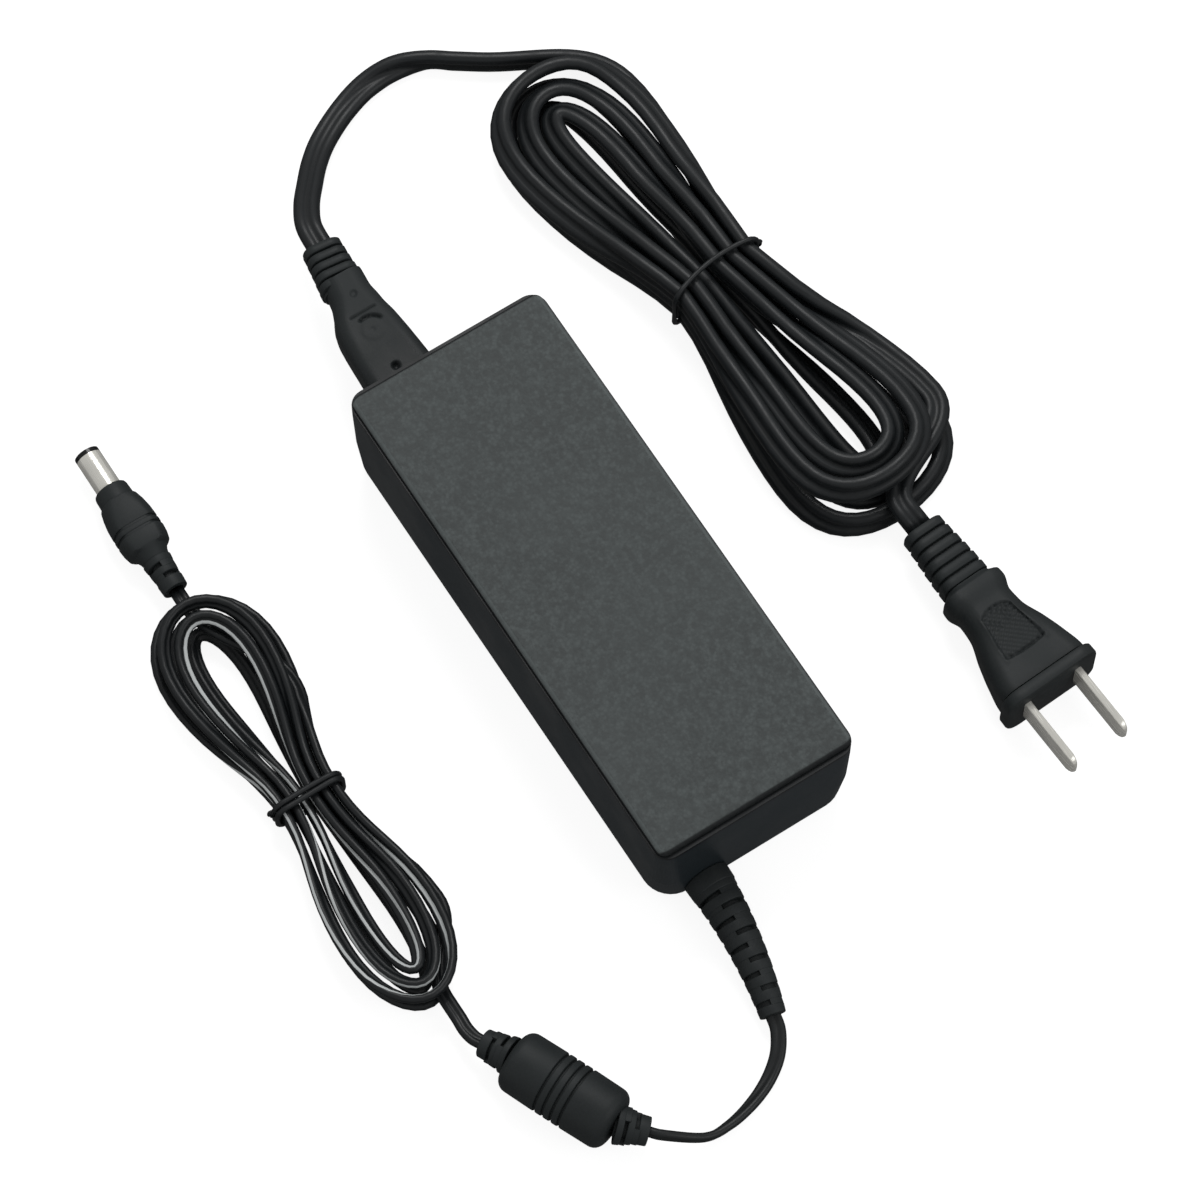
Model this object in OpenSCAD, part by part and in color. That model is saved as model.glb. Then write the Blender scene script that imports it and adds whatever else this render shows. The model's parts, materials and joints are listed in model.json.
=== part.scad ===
// Laptop power adapter: a mains-to-DC brick, its two-core mains cord set and its output cord.
// Millimetres, +Z up. The origin is the centre of the brick's bottom face, +X runs from the
// mains inlet end to the output end, and everything lies on the plane z = 0.

/* [Brick] */
// Length of the brick
brick_l = 118; // [116:1:124]
// Width of the brick
brick_w = 46; // [46:1:50]
// Height of the brick
brick_h = 30; // [30:1:33]
// Radius of the brick's upright corners
corner_r = 3.6; // [3.4:0.1:4]
// Radius of the lid's top edge
lid_edge_r = 1.1; // [0.8:0.1:1.2]
// Radius of the bottom edge
base_edge_r = 4.5; // [4:0.5:4.5]
// Thickness of the moulded walls
wall = 2; // [1.8:0.1:2.2]
// Height of the lower shell's rim
seam_z = 28.4; // [28:0.1:28.5]
// Width of the groove between the shells
seam_gap = 0.2; // [0.2:0.05:0.25]
// Width of the ledge round the lid at the brick's two ends
ledge_end = 0.9; // [0.7:0.1:1]
// Width of the ledge along the brick's two sides
ledge_side = 0.4; // [0.3:0.1:0.6]

/* [Mains inlet] */
// Sideways place of the inlet on the brick's end
inlet_y = -8; // [-8:0.5:0]
// Height of the inlet's axis
inlet_z = 15; // [14:0.5:16]
// Distance between the two inlet pins
pin_pitch = 8.6; // [8.6]
// Diameter of an inlet pin
pin_d = 2.4; // [2.4]
// Length of the connector's nose inside the inlet
nose_l = 12; // [11:0.5:12]

/* [Mains cord] */
// Width of the flat mains flex
ac_cord_w = 5.6; // [5.2:0.1:5.6]
// Thickness of the flat mains flex
ac_cord_t = 3; // [2.8:0.1:3]
// Distance between the plug's two blades
blade_pitch = 12.7; // [12.7]
// Length of a blade outside the plug
blade_l = 16; // [15.9:0.1:18]

/* [Output cord] */
// Width of the twin output flex
dc_cord_w = 3.2; // [3:0.1:3.2]
// Thickness of the twin output flex
dc_cord_t = 1.8; // [1.6:0.1:1.8]
// Outside diameter of the output plug's barrel
barrel_od = 5.5; // [5.5]
// Inside diameter of the output plug's contact
barrel_id = 2.5; // [2.5]
// Length of barrel in front of the plug's handle
barrel_l = 9.5; // [9:0.5:10]
// Diameter of the moulded ferrite choke
choke_d = 13.4; // [13:0.1:13.6]
// Length of the moulded ferrite choke
choke_l = 24.5; // [24:0.5:25]

/* [Hidden] */
$fn = 48;
HULL_FN = 32;
EPS = 0.01;

SHELL_BLACK = [0.13, 0.16, 0.18];
LID_GREY = [0.27, 0.29, 0.29];
RUBBER_BLACK = [0.15, 0.16, 0.17];
METAL = [0.78, 0.78, 0.76];
COPPER = [0.8, 0.5, 0.3];

brick_end = brick_l / 2;
lid_z = seam_z + seam_gap;

// ---------- shared shapes ----------

// A rectangle with round corners.
module round_rect(l, w, r) {
    square([l - 2 * r, w], center = true);
    square([l, w - 2 * r], center = true);
    for (sx = [-1, 1])
        for (sy = [-1, 1])
            translate([sx * (l / 2 - r), sy * (w / 2 - r)]) circle(r);
}

// A flat oval, w wide and t thick.
module stadium(w, t) {
    square([w - t, t], center = true);
    for (s = [-1, 1]) translate([s * (w - t) / 2, 0]) circle(t / 2);
}

// The upright section of a slab whose two top corners are round.
module round_top_section(w, h, r) {
    translate([-w / 2, 0]) square([w, h - r]);
    translate([-w / 2 + r, 0]) square([w - 2 * r, h]);
    intersection() {
        translate([-w / 2, 0]) square([w, h]);
        for (s = [-1, 1]) translate([s * (w / 2 - r), h - r]) circle(r);
    }
}

// A slab on z = 0 with upright corners of radius rc and a top edge of radius re.
module round_slab(l, w, h, rc, re) {
    rotate([90, 0, 90]) linear_extrude(l - 2 * rc, center = true) round_top_section(w, h, re);
    rotate([90, 0, 0]) linear_extrude(w - 2 * rc, center = true) round_top_section(l, h, re);
    for (sx = [-1, 1])
        for (sy = [-1, 1])
            translate([sx * (l / 2 - rc), sy * (w / 2 - rc), 0])
                rotate_extrude()
                    intersection() {
                        round_top_section(2 * rc, h, re);
                        square([rc, h]);
                    }
}

// Turns a shape drawn along +Z so that it runs along +X, with its own X sideways.
module along_x() {
    rotate([90, 0, 90]) children();
}

// ---------- sweeps ----------

function unit(v) = v / norm(v);
function mix(a, b, f) = a * (1 - f) + b * f;
function smooth(x) = let (c = max(0, min(1, x))) c * c * (3 - 2 * c);

// The direction of a route at point i.
function heading(route, i) =
    let (last = len(route) - 1)
    unit(xyz(route[min(i + 1, last)]) - xyz(route[max(i - 1, 0)]));
function xyz(p) = [p[0], p[1], p[2]];

// The ring of a flat cord at one point of its route. A point is [x, y, z, roll]: at roll 0 the
// cord lies on its broad side, and at roll 90 it stands on edge.
function cord_ring(route, i, w, t, sides) =
    let (p = xyz(route[i]), roll = route[i][3], ahead = heading(route, i),
         side = unit(cross([0, 0, 1], ahead)), above = cross(ahead, side),
         broad = cos(roll) * side + sin(roll) * above,
         thin = -sin(roll) * side + cos(roll) * above)
    [for (k = [0 : sides - 1])
        p + broad * w / 2 * cos(k * 360 / sides) + thin * t / 2 * sin(k * 360 / sides)];

function cord_rings(route, w, t, sides) =
    [for (i = [0 : len(route) - 1]) cord_ring(route, i, w, t, sides)];

// Rings of points joined into one closed solid of triangles.
module skin(rings) {
    n = len(rings);
    sides = len(rings[0]);
    walls = [for (i = [0 : n - 2])
                for (k = [0 : sides - 1])
                    let (a = i * sides + k, b = i * sides + (k + 1) % sides)
                    each [[a, a + sides, b], [b, a + sides, b + sides]]];
    first_end = [for (k = [1 : sides - 2]) [0, k, k + 1]];
    last_end = [for (k = [1 : sides - 2])
                    [(n - 1) * sides, (n - 1) * sides + k + 1, (n - 1) * sides + k]];
    polyhedron([for (ring = rings) each ring], concat(walls, first_end, last_end));
}

// A flat cord swept along a route.
module flat_cord(route, w, t, sides) {
    skin(cord_rings(route, w, t, sides));
}

// ---------- hanks ----------

// A hank is wound in its own frame: u along it, v across it, the tie at u = 0. The winding
// angle is 0 at the -u fold, 90 where the cord passes the tie on the +v side and 180 at the
// +u fold. The cord goes round spiralling in on the lower layer, climbs to the upper layer
// along one run and spirals out again.
CLIMB_FROM = 900;
CLIMB_TO = 1080;
CLIMB_TUCK = 0.25;
FIRST_WAIST = 90;
LAST_WAIST = 1890;
RING_STEP = 15;

// The places of a hank's measures in its list.
FOLD_U = 0;       // half length at the middle of the outermost turn
FOLD_STEP = 1;    // step inwards each turn at the folds
BLUNT = 2;        // bluntness of the folds
LOBE_START = 3;   // swell of the -u lobe
LOBE_END = 4;     // swell of the +u lobe
LOBE_STEP = 5;    // step inwards each turn at the lobes of the lower layer
WAIST_V = 6;      // half width at the tie
WAIST_STEP = 7;   // step inwards each turn at the tie
CORD_W = 8;       // width of the cord
CORD_T = 9;       // thickness of the cord
LAYER_GAP = 10;   // clearance between the layers
TIE_LIFT = 11;    // how far the tie under the hank holds it up
LIFT_START = 12;  // lift of the upper layer over the cord that comes in at the -u fold
LIFT_END = 13;    // lift of the upper layer over the cord that leaves at the +u fold
STAGGER_V = 14;   // how much less the upper layer swells
STAGGER_U = 15;   // how much shorter the upper layer is
START_ANGLE = 16; // winding angle at which the incoming cord joins the outermost turn
END_ANGLE = 17;   // winding angle at which the leaving cord parts from it
START = 18;       // incoming end: [u, v, z, roll]
START_WAY = 19;   // its heading in degrees
END = 20;         // leaving end
END_WAY = 21;     // its heading in degrees
SWELL_POWER = 22; // how far from the tie the lobes are widest
LOBE_STEP_UP = 23; // step inwards each turn at the lobes of the upper layer
LEAN = 24;        // how far the cord leans inwards between the tie and the folds
LEAN_FOLD = 25;   // how much of its lean it loses at the folds

function turns_in(a) =
    a < CLIMB_FROM ? a / 360
    : a < CLIMB_TO ? CLIMB_FROM / 360 + CLIMB_TUCK * sin(a - CLIMB_FROM)
    : (CLIMB_FROM + CLIMB_TO - a) / 360;
function layer(a) = smooth((a - CLIMB_FROM) / (CLIMB_TO - CLIMB_FROM));
function end_rise(x) = smooth((x - 0.15) / 0.35);
function waist_bump(x) = 1 - smooth((abs(x) - 0.04) / 0.3);

function hank_u(h, a) =
    -(h[FOLD_U] - h[FOLD_STEP] * turns_in(a) - h[STAGGER_U] * layer(a))
    * (cos(a) - h[BLUNT] * cos(3 * a)) / (1 - h[BLUNT]);
function hank_v(h, a) =
    let (j = turns_in(a),
         swell = mix(h[LOBE_START], h[LOBE_END], (1 - cos(a)) / 2)
                 - mix(h[LOBE_STEP], h[LOBE_STEP_UP], layer(a)) * j - h[STAGGER_V] * layer(a))
    sin(a) * (h[WAIST_V] - h[WAIST_STEP] * j + swell * pow(abs(cos(a)), h[SWELL_POWER]));

// The cord stands on edge at the tie and leans over towards the folds, so that neighbouring
// turns lie like shingles.
function wound_roll(h, x) =
    90 + h[LEAN] * smooth((abs(x) - 0.1) / 0.38)
         * (1 - h[LEAN_FOLD] * smooth((abs(x) - 0.72) / 0.28));

// Half the height of the cord's section at a roll.
function half_height(h, roll) = norm([h[CORD_W] / 2 * sin(roll), h[CORD_T] / 2 * cos(roll)]);

// A point of the winding. The first and the last run come from, and go to, an end that lies
// between the two layers at its fold.
function wound_point(h, a) =
    let (u = hank_u(h, a), v = hank_v(h, a), x = u / h[FOLD_U], up = layer(a),
         roll = wound_roll(h, x), half = half_height(h, roll),
         first = a < FIRST_WAIST, last = a > LAST_WAIST,
         f = first ? end_rise(-x) : last ? end_rise(x) : 0,
         end = first ? h[START] : h[END],
         plain_z = half + up * (2 * half + h[LAYER_GAP]),
         lift = up * (h[LIFT_START] * end_rise(-x) + h[LIFT_END] * end_rise(x)),
         held = h[TIE_LIFT] * waist_bump(x))
    f > 0 ? [u, v, mix(plain_z, end[2], f) + held, mix(roll, end[3], f)]
          : [u, v, plain_z + lift + held, roll];

// A smooth lead between two points, each with its direction.
function lead_point(p, pd, q, qd, f) =
    let (reach = norm(q - p) * 0.38, a = p + pd * reach, b = q - qd * reach)
    p * pow(1 - f, 3) + 3 * a * f * pow(1 - f, 2) + 3 * b * f * f * (1 - f) + q * pow(f, 3);

function plan_direction(h, a) =
    unit([hank_u(h, a + 1) - hank_u(h, a - 1), hank_v(h, a + 1) - hank_v(h, a - 1)]);

function flat(p) = [p[0], p[1]];
function way(d) = [cos(d), sin(d)];

function lead_route(p, pd, q, qd, steps) =
    [for (k = [1 : steps - 1])
        let (f = k / steps, s = lead_point(flat(p), pd, flat(q), qd, f))
        [s[0], s[1], mix(p[2], q[2], smooth(f)), mix(p[3], q[3], smooth(f))]];

function moved(p, d, l) = [p[0] + d[0] * l, p[1] + d[1] * l, p[2], p[3]];

// The whole route of a hank's cord: a straight end, a lead onto the outermost turn, the
// winding, and a lead to the other straight end.
function hank_route(h) =
    let (s_dir = way(h[START_WAY]), s_in = moved(h[START], s_dir, h[CORD_W]),
         on = wound_point(h, h[START_ANGLE]), off = wound_point(h, h[END_ANGLE]),
         e_dir = way(h[END_WAY]), e_in = moved(h[END], e_dir, -h[CORD_W]))
    concat([h[START], s_in],
           lead_route(s_in, s_dir, on, plan_direction(h, h[START_ANGLE]), 5),
           [for (a = [h[START_ANGLE] : RING_STEP : h[END_ANGLE]]) wound_point(h, a)],
           lead_route(off, plan_direction(h, h[END_ANGLE]), e_in, e_dir, 6),
           [e_in, h[END]]);

// The least distance between the surface points of turns that aren't neighbours along the cord.
function least_gap(rings, apart, near) =
    min([for (i = [0 : len(rings) - 1])
            for (j = [i + apart : 1 : len(rings) - 1])
                if (norm(rings[i][0] - rings[j][3]) < near)
                    min([for (p = rings[i]) for (q = rings[j]) norm(p - q)])]);

function run_length(route) =
    [for (i = 1, s = 0; i <= len(route); i = i + 1,
          s = s + (i <= len(route) - 1 ? norm(xyz(route[i]) - xyz(route[i - 1])) : 0)) s]
    [len(route) - 1];

// ---------- brick: shells ----------

base_corner_r = 6.5;
mid_corner_r = 4.3;
cavity_r = 3.4;
BASE_LEVELS = 6;

module brick_plate(z, h, inset, r) {
    translate([0, 0, z])
        linear_extrude(h) round_rect(brick_l - 2 * inset, brick_w - 2 * inset, r, $fn = HULL_FN);
}

// The lower shell's outside. Its upright corners grow rounder towards the round bottom edge.
module lower_outside() {
    hull() {
        for (k = [0 : BASE_LEVELS - 1]) {
            a = 90 * k / BASE_LEVELS;
            inset = base_edge_r * (1 - sin(a));
            brick_plate(base_edge_r * (1 - cos(a)), EPS, inset, base_corner_r - inset);
        }
        brick_plate(base_edge_r, 1.5, 0, base_corner_r);
        brick_plate(12, 2, 0, mid_corner_r);
        brick_plate(seam_z - 4, 4, 0, corner_r);
    }
}

board_l = 106;
board_w = 40;
board_t = 1.6;
board_z = 4.6;
post_d = 5;
post_x = 46;
post_y = 15;

inlet_w = 18;
inlet_h = 12;
inlet_front = -brick_end + 0.4;
pocket_l = nose_l + 0.6;
inlet_back = inlet_front + pocket_l + 3;

boot_y = -12.5;
boot_z = 5.6;
boot_neck_d = 6;

module lower_shell() {
    color(SHELL_BLACK) {
        difference() {
            lower_outside();
            translate([0, 0, wall])
                linear_extrude(seam_z)
                    round_rect(brick_l - 2 * wall, brick_w - 2 * wall, cavity_r);
            translate([-brick_end - 1, inlet_y - inlet_w / 2, inlet_z - inlet_h / 2])
                cube([wall + 2, inlet_w, inlet_h]);
            translate([brick_end - wall - 1, boot_y, boot_z])
                rotate([0, 90, 0]) cylinder(d = boot_neck_d, h = wall + 2);
        }
        for (sx = [-1, 1])
            for (sy = [-1, 1])
                translate([sx * post_x, sy * post_y, wall - EPS])
                    cylinder(d = post_d, h = board_z - wall + EPS);
    }
}

lip_t = 1.2;
lip_l = 2.4;
groove_depth = 1.3;
lid_corner_r = 2;

module ring_plate(inset, t, h, r) {
    linear_extrude(h)
        difference() {
            round_rect(brick_l - 2 * inset, brick_w - 2 * inset, r);
            round_rect(brick_l - 2 * (inset + t), brick_w - 2 * (inset + t), cavity_r - lip_t);
        }
}

// The lid: its top plate, which leaves a narrow ledge of the lower shell free all round, the
// floor of the groove under its edge, and a lip inside the rim.
module upper_shell() {
    color(LID_GREY) {
        translate([0, 0, lid_z])
            round_slab(brick_l - 2 * ledge_end, brick_w - 2 * ledge_side, brick_h - lid_z,
                       lid_corner_r, lid_edge_r);
        translate([0, 0, seam_z])
            ring_plate(groove_depth, wall - groove_depth + lip_t, seam_gap + EPS,
                       corner_r - groove_depth);
        translate([0, 0, seam_z - lip_l])
            ring_plate(wall + 0.05, lip_t - 0.05, lip_l + EPS, cavity_r - 0.05);
    }
}

// ---------- brick: mains inlet ----------

nose_lobe_r = 3.2;
nose_mid_h = 4.6;
pocket_clear = 0.3;

// The figure-of-eight outline of the connector's nose, grown by a clearance.
module nose_outline(grow) {
    for (s = [-1, 1]) translate([s * pin_pitch / 2, 0]) circle(nose_lobe_r + grow);
    square([pin_pitch, nose_mid_h + 2 * grow], center = true);
}

module at_inlet(x) {
    translate([x, inlet_y, inlet_z]) along_x() children();
}

module ac_inlet_housing() {
    color(RUBBER_BLACK)
        difference() {
            translate([inlet_front, inlet_y - inlet_w / 2, inlet_z - inlet_h / 2])
                cube([inlet_back - inlet_front, inlet_w, inlet_h]);
            at_inlet(inlet_front - 1) linear_extrude(pocket_l + 1) nose_outline(pocket_clear);
            for (s = [-1, 1])
                translate([inlet_front, inlet_y + s * pin_pitch / 2, inlet_z])
                    rotate([0, 90, 0]) cylinder(d = pin_d, h = pocket_l + 4);
        }
}

pin_front = inlet_front + 2.6;
pin_back = inlet_back + 3.4;

module inlet_pins() {
    color(METAL)
        for (s = [-1, 1])
            translate([pin_front, inlet_y + s * pin_pitch / 2, inlet_z])
                rotate([0, 90, 0]) cylinder(d = pin_d, h = pin_back - pin_front);
}

board_top = board_z + board_t;
lead_d = 1.4;

// A wire that runs back from a terminal and then straight down to the board.
module drop_wire(x, y, z, reach) {
    translate([x, y, z]) rotate([0, 90, 0]) cylinder(d = lead_d, h = reach);
    translate([x + reach, y, z]) sphere(d = lead_d);
    translate([x + reach, y, board_top]) cylinder(d = lead_d, h = z - board_top);
}

module ac_lead_wires() {
    color(COPPER)
        for (s = [-1, 1]) drop_wire(pin_back, inlet_y + s * pin_pitch / 2, inlet_z, 1.6);
}

// ---------- brick: electronics ----------

module circuit_board() {
    color([0.1, 0.35, 0.2])
        translate([-board_l / 2, -board_w / 2, board_z]) cube([board_l, board_w, board_t]);
}

// A box that stands on the board, its place given by its centre.
module on_board(x, y, size) {
    translate([x - size[0] / 2, y - size[1] / 2, board_top]) cube(size);
}

module fuse() {
    color([0.8, 0.8, 0.75]) {
        translate([-46, 16, board_top + 2.6]) rotate([0, 90, 0]) cylinder(d = 5.2, h = 20);
    }
}

module x_capacitor() {
    color([0.85, 0.7, 0.2]) on_board(-30, -12.5, [13, 6, 12]);
}

toroid_d = 14;
toroid_t = 7;

// A ring core with its two windings, standing on its rim.
module common_mode_choke() {
    color(COPPER)
        translate([-29, 2.5, board_top + toroid_d / 2 - 0.05])
            rotate([0, 90, 0])
                rotate_extrude()
                    translate([toroid_d / 2 - 2.2, 0]) stadium_upright(4.4, toroid_t);
}

// A stadium that stands upright, w wide and t tall.
module stadium_upright(w, t) {
    square([w, t - w], center = true);
    for (s = [-1, 1]) translate([0, s * (t - w) / 2]) circle(w / 2);
}

module bridge_rectifier() {
    color([0.1, 0.1, 0.1]) on_board(-19, -14, [6, 10, 11]);
}

bulk_d = 18;

module bulk_capacitor() {
    color([0.1, 0.1, 0.1])
        translate([-21, 9.5, board_top + bulk_d / 2])
            rotate([0, 90, 0]) cylinder(d = bulk_d, h = 28);
}

sink_t = 1.5;
sink_h = 18;

// An aluminium plate on edge with a foot along its top.
module heat_sink(x, y, l, foot) {
    on_board(x, y, [l, sink_t, sink_h]);
    translate([x - l / 2, y - (foot < 0 ? -foot : 0), board_top + sink_h - sink_t])
        cube([l, abs(foot), sink_t]);
}

module primary_heat_sink() {
    color(METAL) heat_sink(-1, -18.5, 28, 5);
}

module switching_transistor() {
    color([0.1, 0.1, 0.1]) on_board(-6, -15.5, [10, 4.5, 15]);
}

core_x = 20;
core_l = 22;
core_w = 26;
core_h = 18.5;
core_t = 5;
winding_d = 15;

// A ferrite core in two halves round a centre leg: two side walls, two ends and the leg.
module transformer_core() {
    color([0.2, 0.2, 0.22])
        difference() {
            on_board(core_x, 3, [core_l, core_w, core_h]);
            translate([core_x - core_l / 2 - 1, 3 - core_w / 2 + core_t, board_top + core_t])
                cube([core_l + 2, core_w - 2 * core_t, core_h - 2 * core_t]);
        }
    color([0.2, 0.2, 0.22])
        translate([core_x, 3, board_top + core_t - EPS])
            cylinder(d = 8, h = core_h - 2 * core_t + 2 * EPS);
}

module transformer_winding() {
    color([0.85, 0.75, 0.3])
        translate([core_x, 3, board_top + core_t])
            difference() {
                cylinder(d = winding_d, h = core_h - 2 * core_t);
                translate([0, 0, -1]) cylinder(d = 8, h = core_h);
            }
}

module y_capacitor() {
    color([0.2, 0.4, 0.7])
        translate([20, -14.2, board_top + 4]) rotate([90, 0, 0]) cylinder(d = 8, h = 3);
}

module optocoupler() {
    color([0.1, 0.1, 0.1]) on_board(30, -15.5, [5, 7, 4]);
}

module secondary_heat_sink() {
    color(METAL) heat_sink(39, 18.5, 14, -5);
}

module output_rectifier() {
    color([0.1, 0.1, 0.1]) on_board(39, 15.5, [10, 4.5, 15]);
}

output_cap_y = [-6, 3];

module output_capacitors() {
    color([0.1, 0.1, 0.1])
        for (y = output_cap_y) translate([39, y, board_top]) cylinder(d = 8, h = 16);
}

sheet_t = 0.4;

// A sheet of insulating card between the board's parts and the lid.
module insulating_sheet() {
    color([0.85, 0.8, 0.6])
        translate([-6, 0, seam_z - lip_l - sheet_t - 0.2])
            linear_extrude(sheet_t) square([96, 38], center = true);
}

dc_wire_z = 7.6;
dc_wire_from = 51;

// Two wires that come in through the strain relief and turn down to the board.
module dc_lead_wires() {
    color(COPPER)
        for (s = [-1, 1])
            translate([dc_wire_from, boot_y + s * 1.2, 0]) {
                translate([0, 0, dc_wire_z]) sphere(d = lead_d);
                translate([0, 0, board_top]) cylinder(d = lead_d, h = dc_wire_z - board_top);
                translate([0, 0, dc_wire_z]) rotate([0, 90, 0])
                    cylinder(d = lead_d, h = brick_end - wall - 2 - dc_wire_from);
            }
}

// ---------- output strain relief ----------

boot_l = 31;
boot_yaw = -15;
boot_base_d = 9.8;
boot_tip_d = 5.4;
boot_slots = 9;
boot_slot_w = 1.3;
boot_collar_l = 2.4;
boot_drop = 2.6;

// The boot's axis droops and turns a little, evenly along its length.
function boot_at(f) =
    let (bend = pow(max(0, f), 2))
    [brick_end + boot_l * f, boot_y + boot_l * bend * tan(boot_yaw / 2), boot_z - boot_drop * bend];
function boot_yaw_at(f) = boot_yaw * max(0, f);
function boot_pitch_at(f) = 2 * atan(boot_drop / boot_l) * max(0, f);
function boot_r_at(f) = mix(boot_base_d, boot_tip_d, f) / 2;

BOOT_SIDES = 24;
boot_core_share = 0.64;
boot_bridge_share = 0.93;
boot_bevel = 0.15;
BRIDGE_COS = 0.88;

// One ring of the boot's surface, x from the brick's end. Two bridges stand opposite each
// other, and the surface between them has the open radius.
function boot_ring(x, r_open, r_bridge, phase) =
    let (f = x / boot_l, ahead = turned(boot_yaw_at(f), boot_pitch_at(f), 1),
         side = unit(cross([0, 0, 1], ahead)), above = cross(ahead, side))
    [for (k = [0 : BOOT_SIDES - 1])
        let (a = k * 360 / BOOT_SIDES, r = abs(cos(a - phase)) > BRIDGE_COS ? r_bridge : r_open)
        boot_at(f) + side * r * cos(a) + above * r * sin(a)];

// The slot before band i and the band itself.
function boot_band(i, pitch) =
    let (x0 = (i + 0.95) * pitch, last = i == boot_slots,
         x1 = last ? boot_l : x0 + pitch - boot_slot_w,
         before = i == 0 ? boot_collar_l : x0 - boot_slot_w,
         r = boot_r_at(x0 / boot_l), phase = (i % 2) * 90)
    concat([boot_ring(before, r * boot_core_share, r * boot_bridge_share, phase),
            boot_ring(x0, r * boot_core_share, r * boot_bridge_share, phase),
            boot_ring(x0 + boot_bevel, r, r, 0),
            boot_ring(x1 - boot_bevel, r - 0.05, r - 0.05, 0)],
           last ? [boot_ring(x1, r - 0.2, r - 0.2, 0)] : []);

neck_r = boot_neck_d / 2 - 0.03;
BOOT_ROOT = [[-wall - 2, neck_r + 0.5], [-wall - 0.1, neck_r + 0.5], [-wall, neck_r], [0, neck_r],
             [0.1, boot_base_d / 2], [boot_collar_l - boot_bevel, boot_base_d / 2 - 0.05]];

// A tapered boot of bands on a thinner core. Bridges join neighbouring bands at the sides and
// at the top in turn, so that it bends evenly, and its root is locked in the brick's wall.
module dc_strain_relief() {
    pitch = boot_l / (boot_slots + 1.6);
    color(RUBBER_BLACK)
        skin(concat([for (s = BOOT_ROOT) boot_ring(s[0], s[1], s[1], 0)],
                    [for (i = [0 : boot_slots]) each boot_band(i, pitch)]));
}

// ---------- output cord ----------

DC_SIDES = 8;
HANK_SIDES = 6;

choke_at = [81.6, -60.3, 6.85];
choke_yaw = 23.5;
choke_in_yaw = 46;
choke_out_yaw = 208;
choke_boot_l = 6.6;
choke_boot_pitch = 8;
choke_boot_core_d = 4.6;
choke_boot_ring_d = [8, 7, 6];

function turned(yaw, pitch, l) =
    [l * cos(yaw) * cos(pitch), l * sin(yaw) * cos(pitch), -l * sin(pitch)];
function choke_face(s) = choke_at + s * turned(choke_yaw, 0, choke_l / 2);

choke_in = choke_face(1) + turned(choke_in_yaw, choke_boot_pitch, choke_boot_l);
choke_out = choke_face(-1) + turned(choke_out_yaw, choke_boot_pitch, choke_boot_l);

boot_tip = boot_at(1);
boot_out = boot_tip + turned(boot_yaw, boot_pitch_at(1), dc_cord_w);
choke_in_ahead = choke_in + turned(choke_in_yaw, choke_boot_pitch, dc_cord_w);
choke_out_ahead = choke_out + turned(choke_out_yaw, choke_boot_pitch, 2);

// The free cord from the brick's strain relief to the choke: flat at the brick, on edge at
// the choke. The two points at each end come from the pieces that it meets.
DC_ROUTE = [
    [boot_tip[0], boot_tip[1], boot_tip[2], 0],
    [boot_out[0], boot_out[1], boot_out[2], 0],
    [97, -20.2, 1.8, 10],
    [100.2, -24.6, 1.3, 25],
    [102.5, -30, 1.4, 45],
    [103.8, -36, 1.8, 65],
    [103.6, -41.5, 2.9, 80],
    [choke_in_ahead[0], choke_in_ahead[1], choke_in_ahead[2], 90],
    [choke_in[0], choke_in[1], choke_in[2], 90]];

module dc_cord() {
    color(RUBBER_BLACK) flat_cord(DC_ROUTE, dc_cord_w, dc_cord_t, DC_SIDES);
}

ferrite_d = 10.4;
ferrite_bore = 4.4;
ferrite_l = 19;
choke_edge_r = 1.6;
choke_groove_w = 0.7;
choke_groove_d = 0.6;
choke_groove_pitch = 1.9;
choke_grooves = 4;

module at_choke() {
    translate(choke_at) rotate([0, 0, choke_yaw]) rotate([0, 90, 0]) children();
}

// Half the outline of the choke's moulded body, with round end edges.
module choke_half_outline() {
    square([choke_d / 2 - choke_edge_r, choke_l / 2]);
    square([choke_d / 2, choke_l / 2 - choke_edge_r]);
    translate([choke_d / 2 - choke_edge_r, choke_l / 2 - choke_edge_r]) circle(choke_edge_r);
}

// A tapered boot of rings on a thinner core, drawn along +Z.
module ringed_boot(ring_d, core_d, l) {
    pitch = l / len(ring_d);
    cylinder(d = core_d, h = l);
    for (i = [0 : len(ring_d) - 1])
        translate([0, 0, pitch * i + pitch * 0.35])
            cylinder(d1 = ring_d[i], d2 = ring_d[i] - 0.3, h = pitch * 0.65);
}

module pointing(yaw, pitch) {
    rotate([0, 0, yaw]) rotate([0, pitch, 0]) rotate([0, 90, 0]) children();
}

module choke_housing() {
    color(RUBBER_BLACK)
        difference() {
            union() {
                at_choke()
                    rotate_extrude()
                        intersection() {
                            union() {
                                choke_half_outline();
                                mirror([0, 1]) choke_half_outline();
                            }
                            translate([0, -choke_l / 2]) square([choke_d / 2, choke_l]);
                        }
                translate(choke_face(1)) pointing(choke_in_yaw, choke_boot_pitch)
                    translate([0, 0, -0.4])
                        ringed_boot(choke_boot_ring_d, choke_boot_core_d, choke_boot_l + 0.4);
                translate(choke_face(-1)) pointing(choke_out_yaw, choke_boot_pitch)
                    translate([0, 0, -0.4])
                        ringed_boot(choke_boot_ring_d, choke_boot_core_d, choke_boot_l + 0.4);
            }
            at_choke() cylinder(d = ferrite_d, h = ferrite_l, center = true);
            at_choke()
                for (i = [0 : choke_grooves - 1])
                    translate([0, 0, (i - (choke_grooves - 1) / 2) * choke_groove_pitch])
                        difference() {
                            cylinder(d = choke_d + 2, h = choke_groove_w, center = true);
                            cylinder(d = choke_d - 2 * choke_groove_d,
                                     h = choke_groove_w + 1, center = true);
                        }
        }
}

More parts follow.
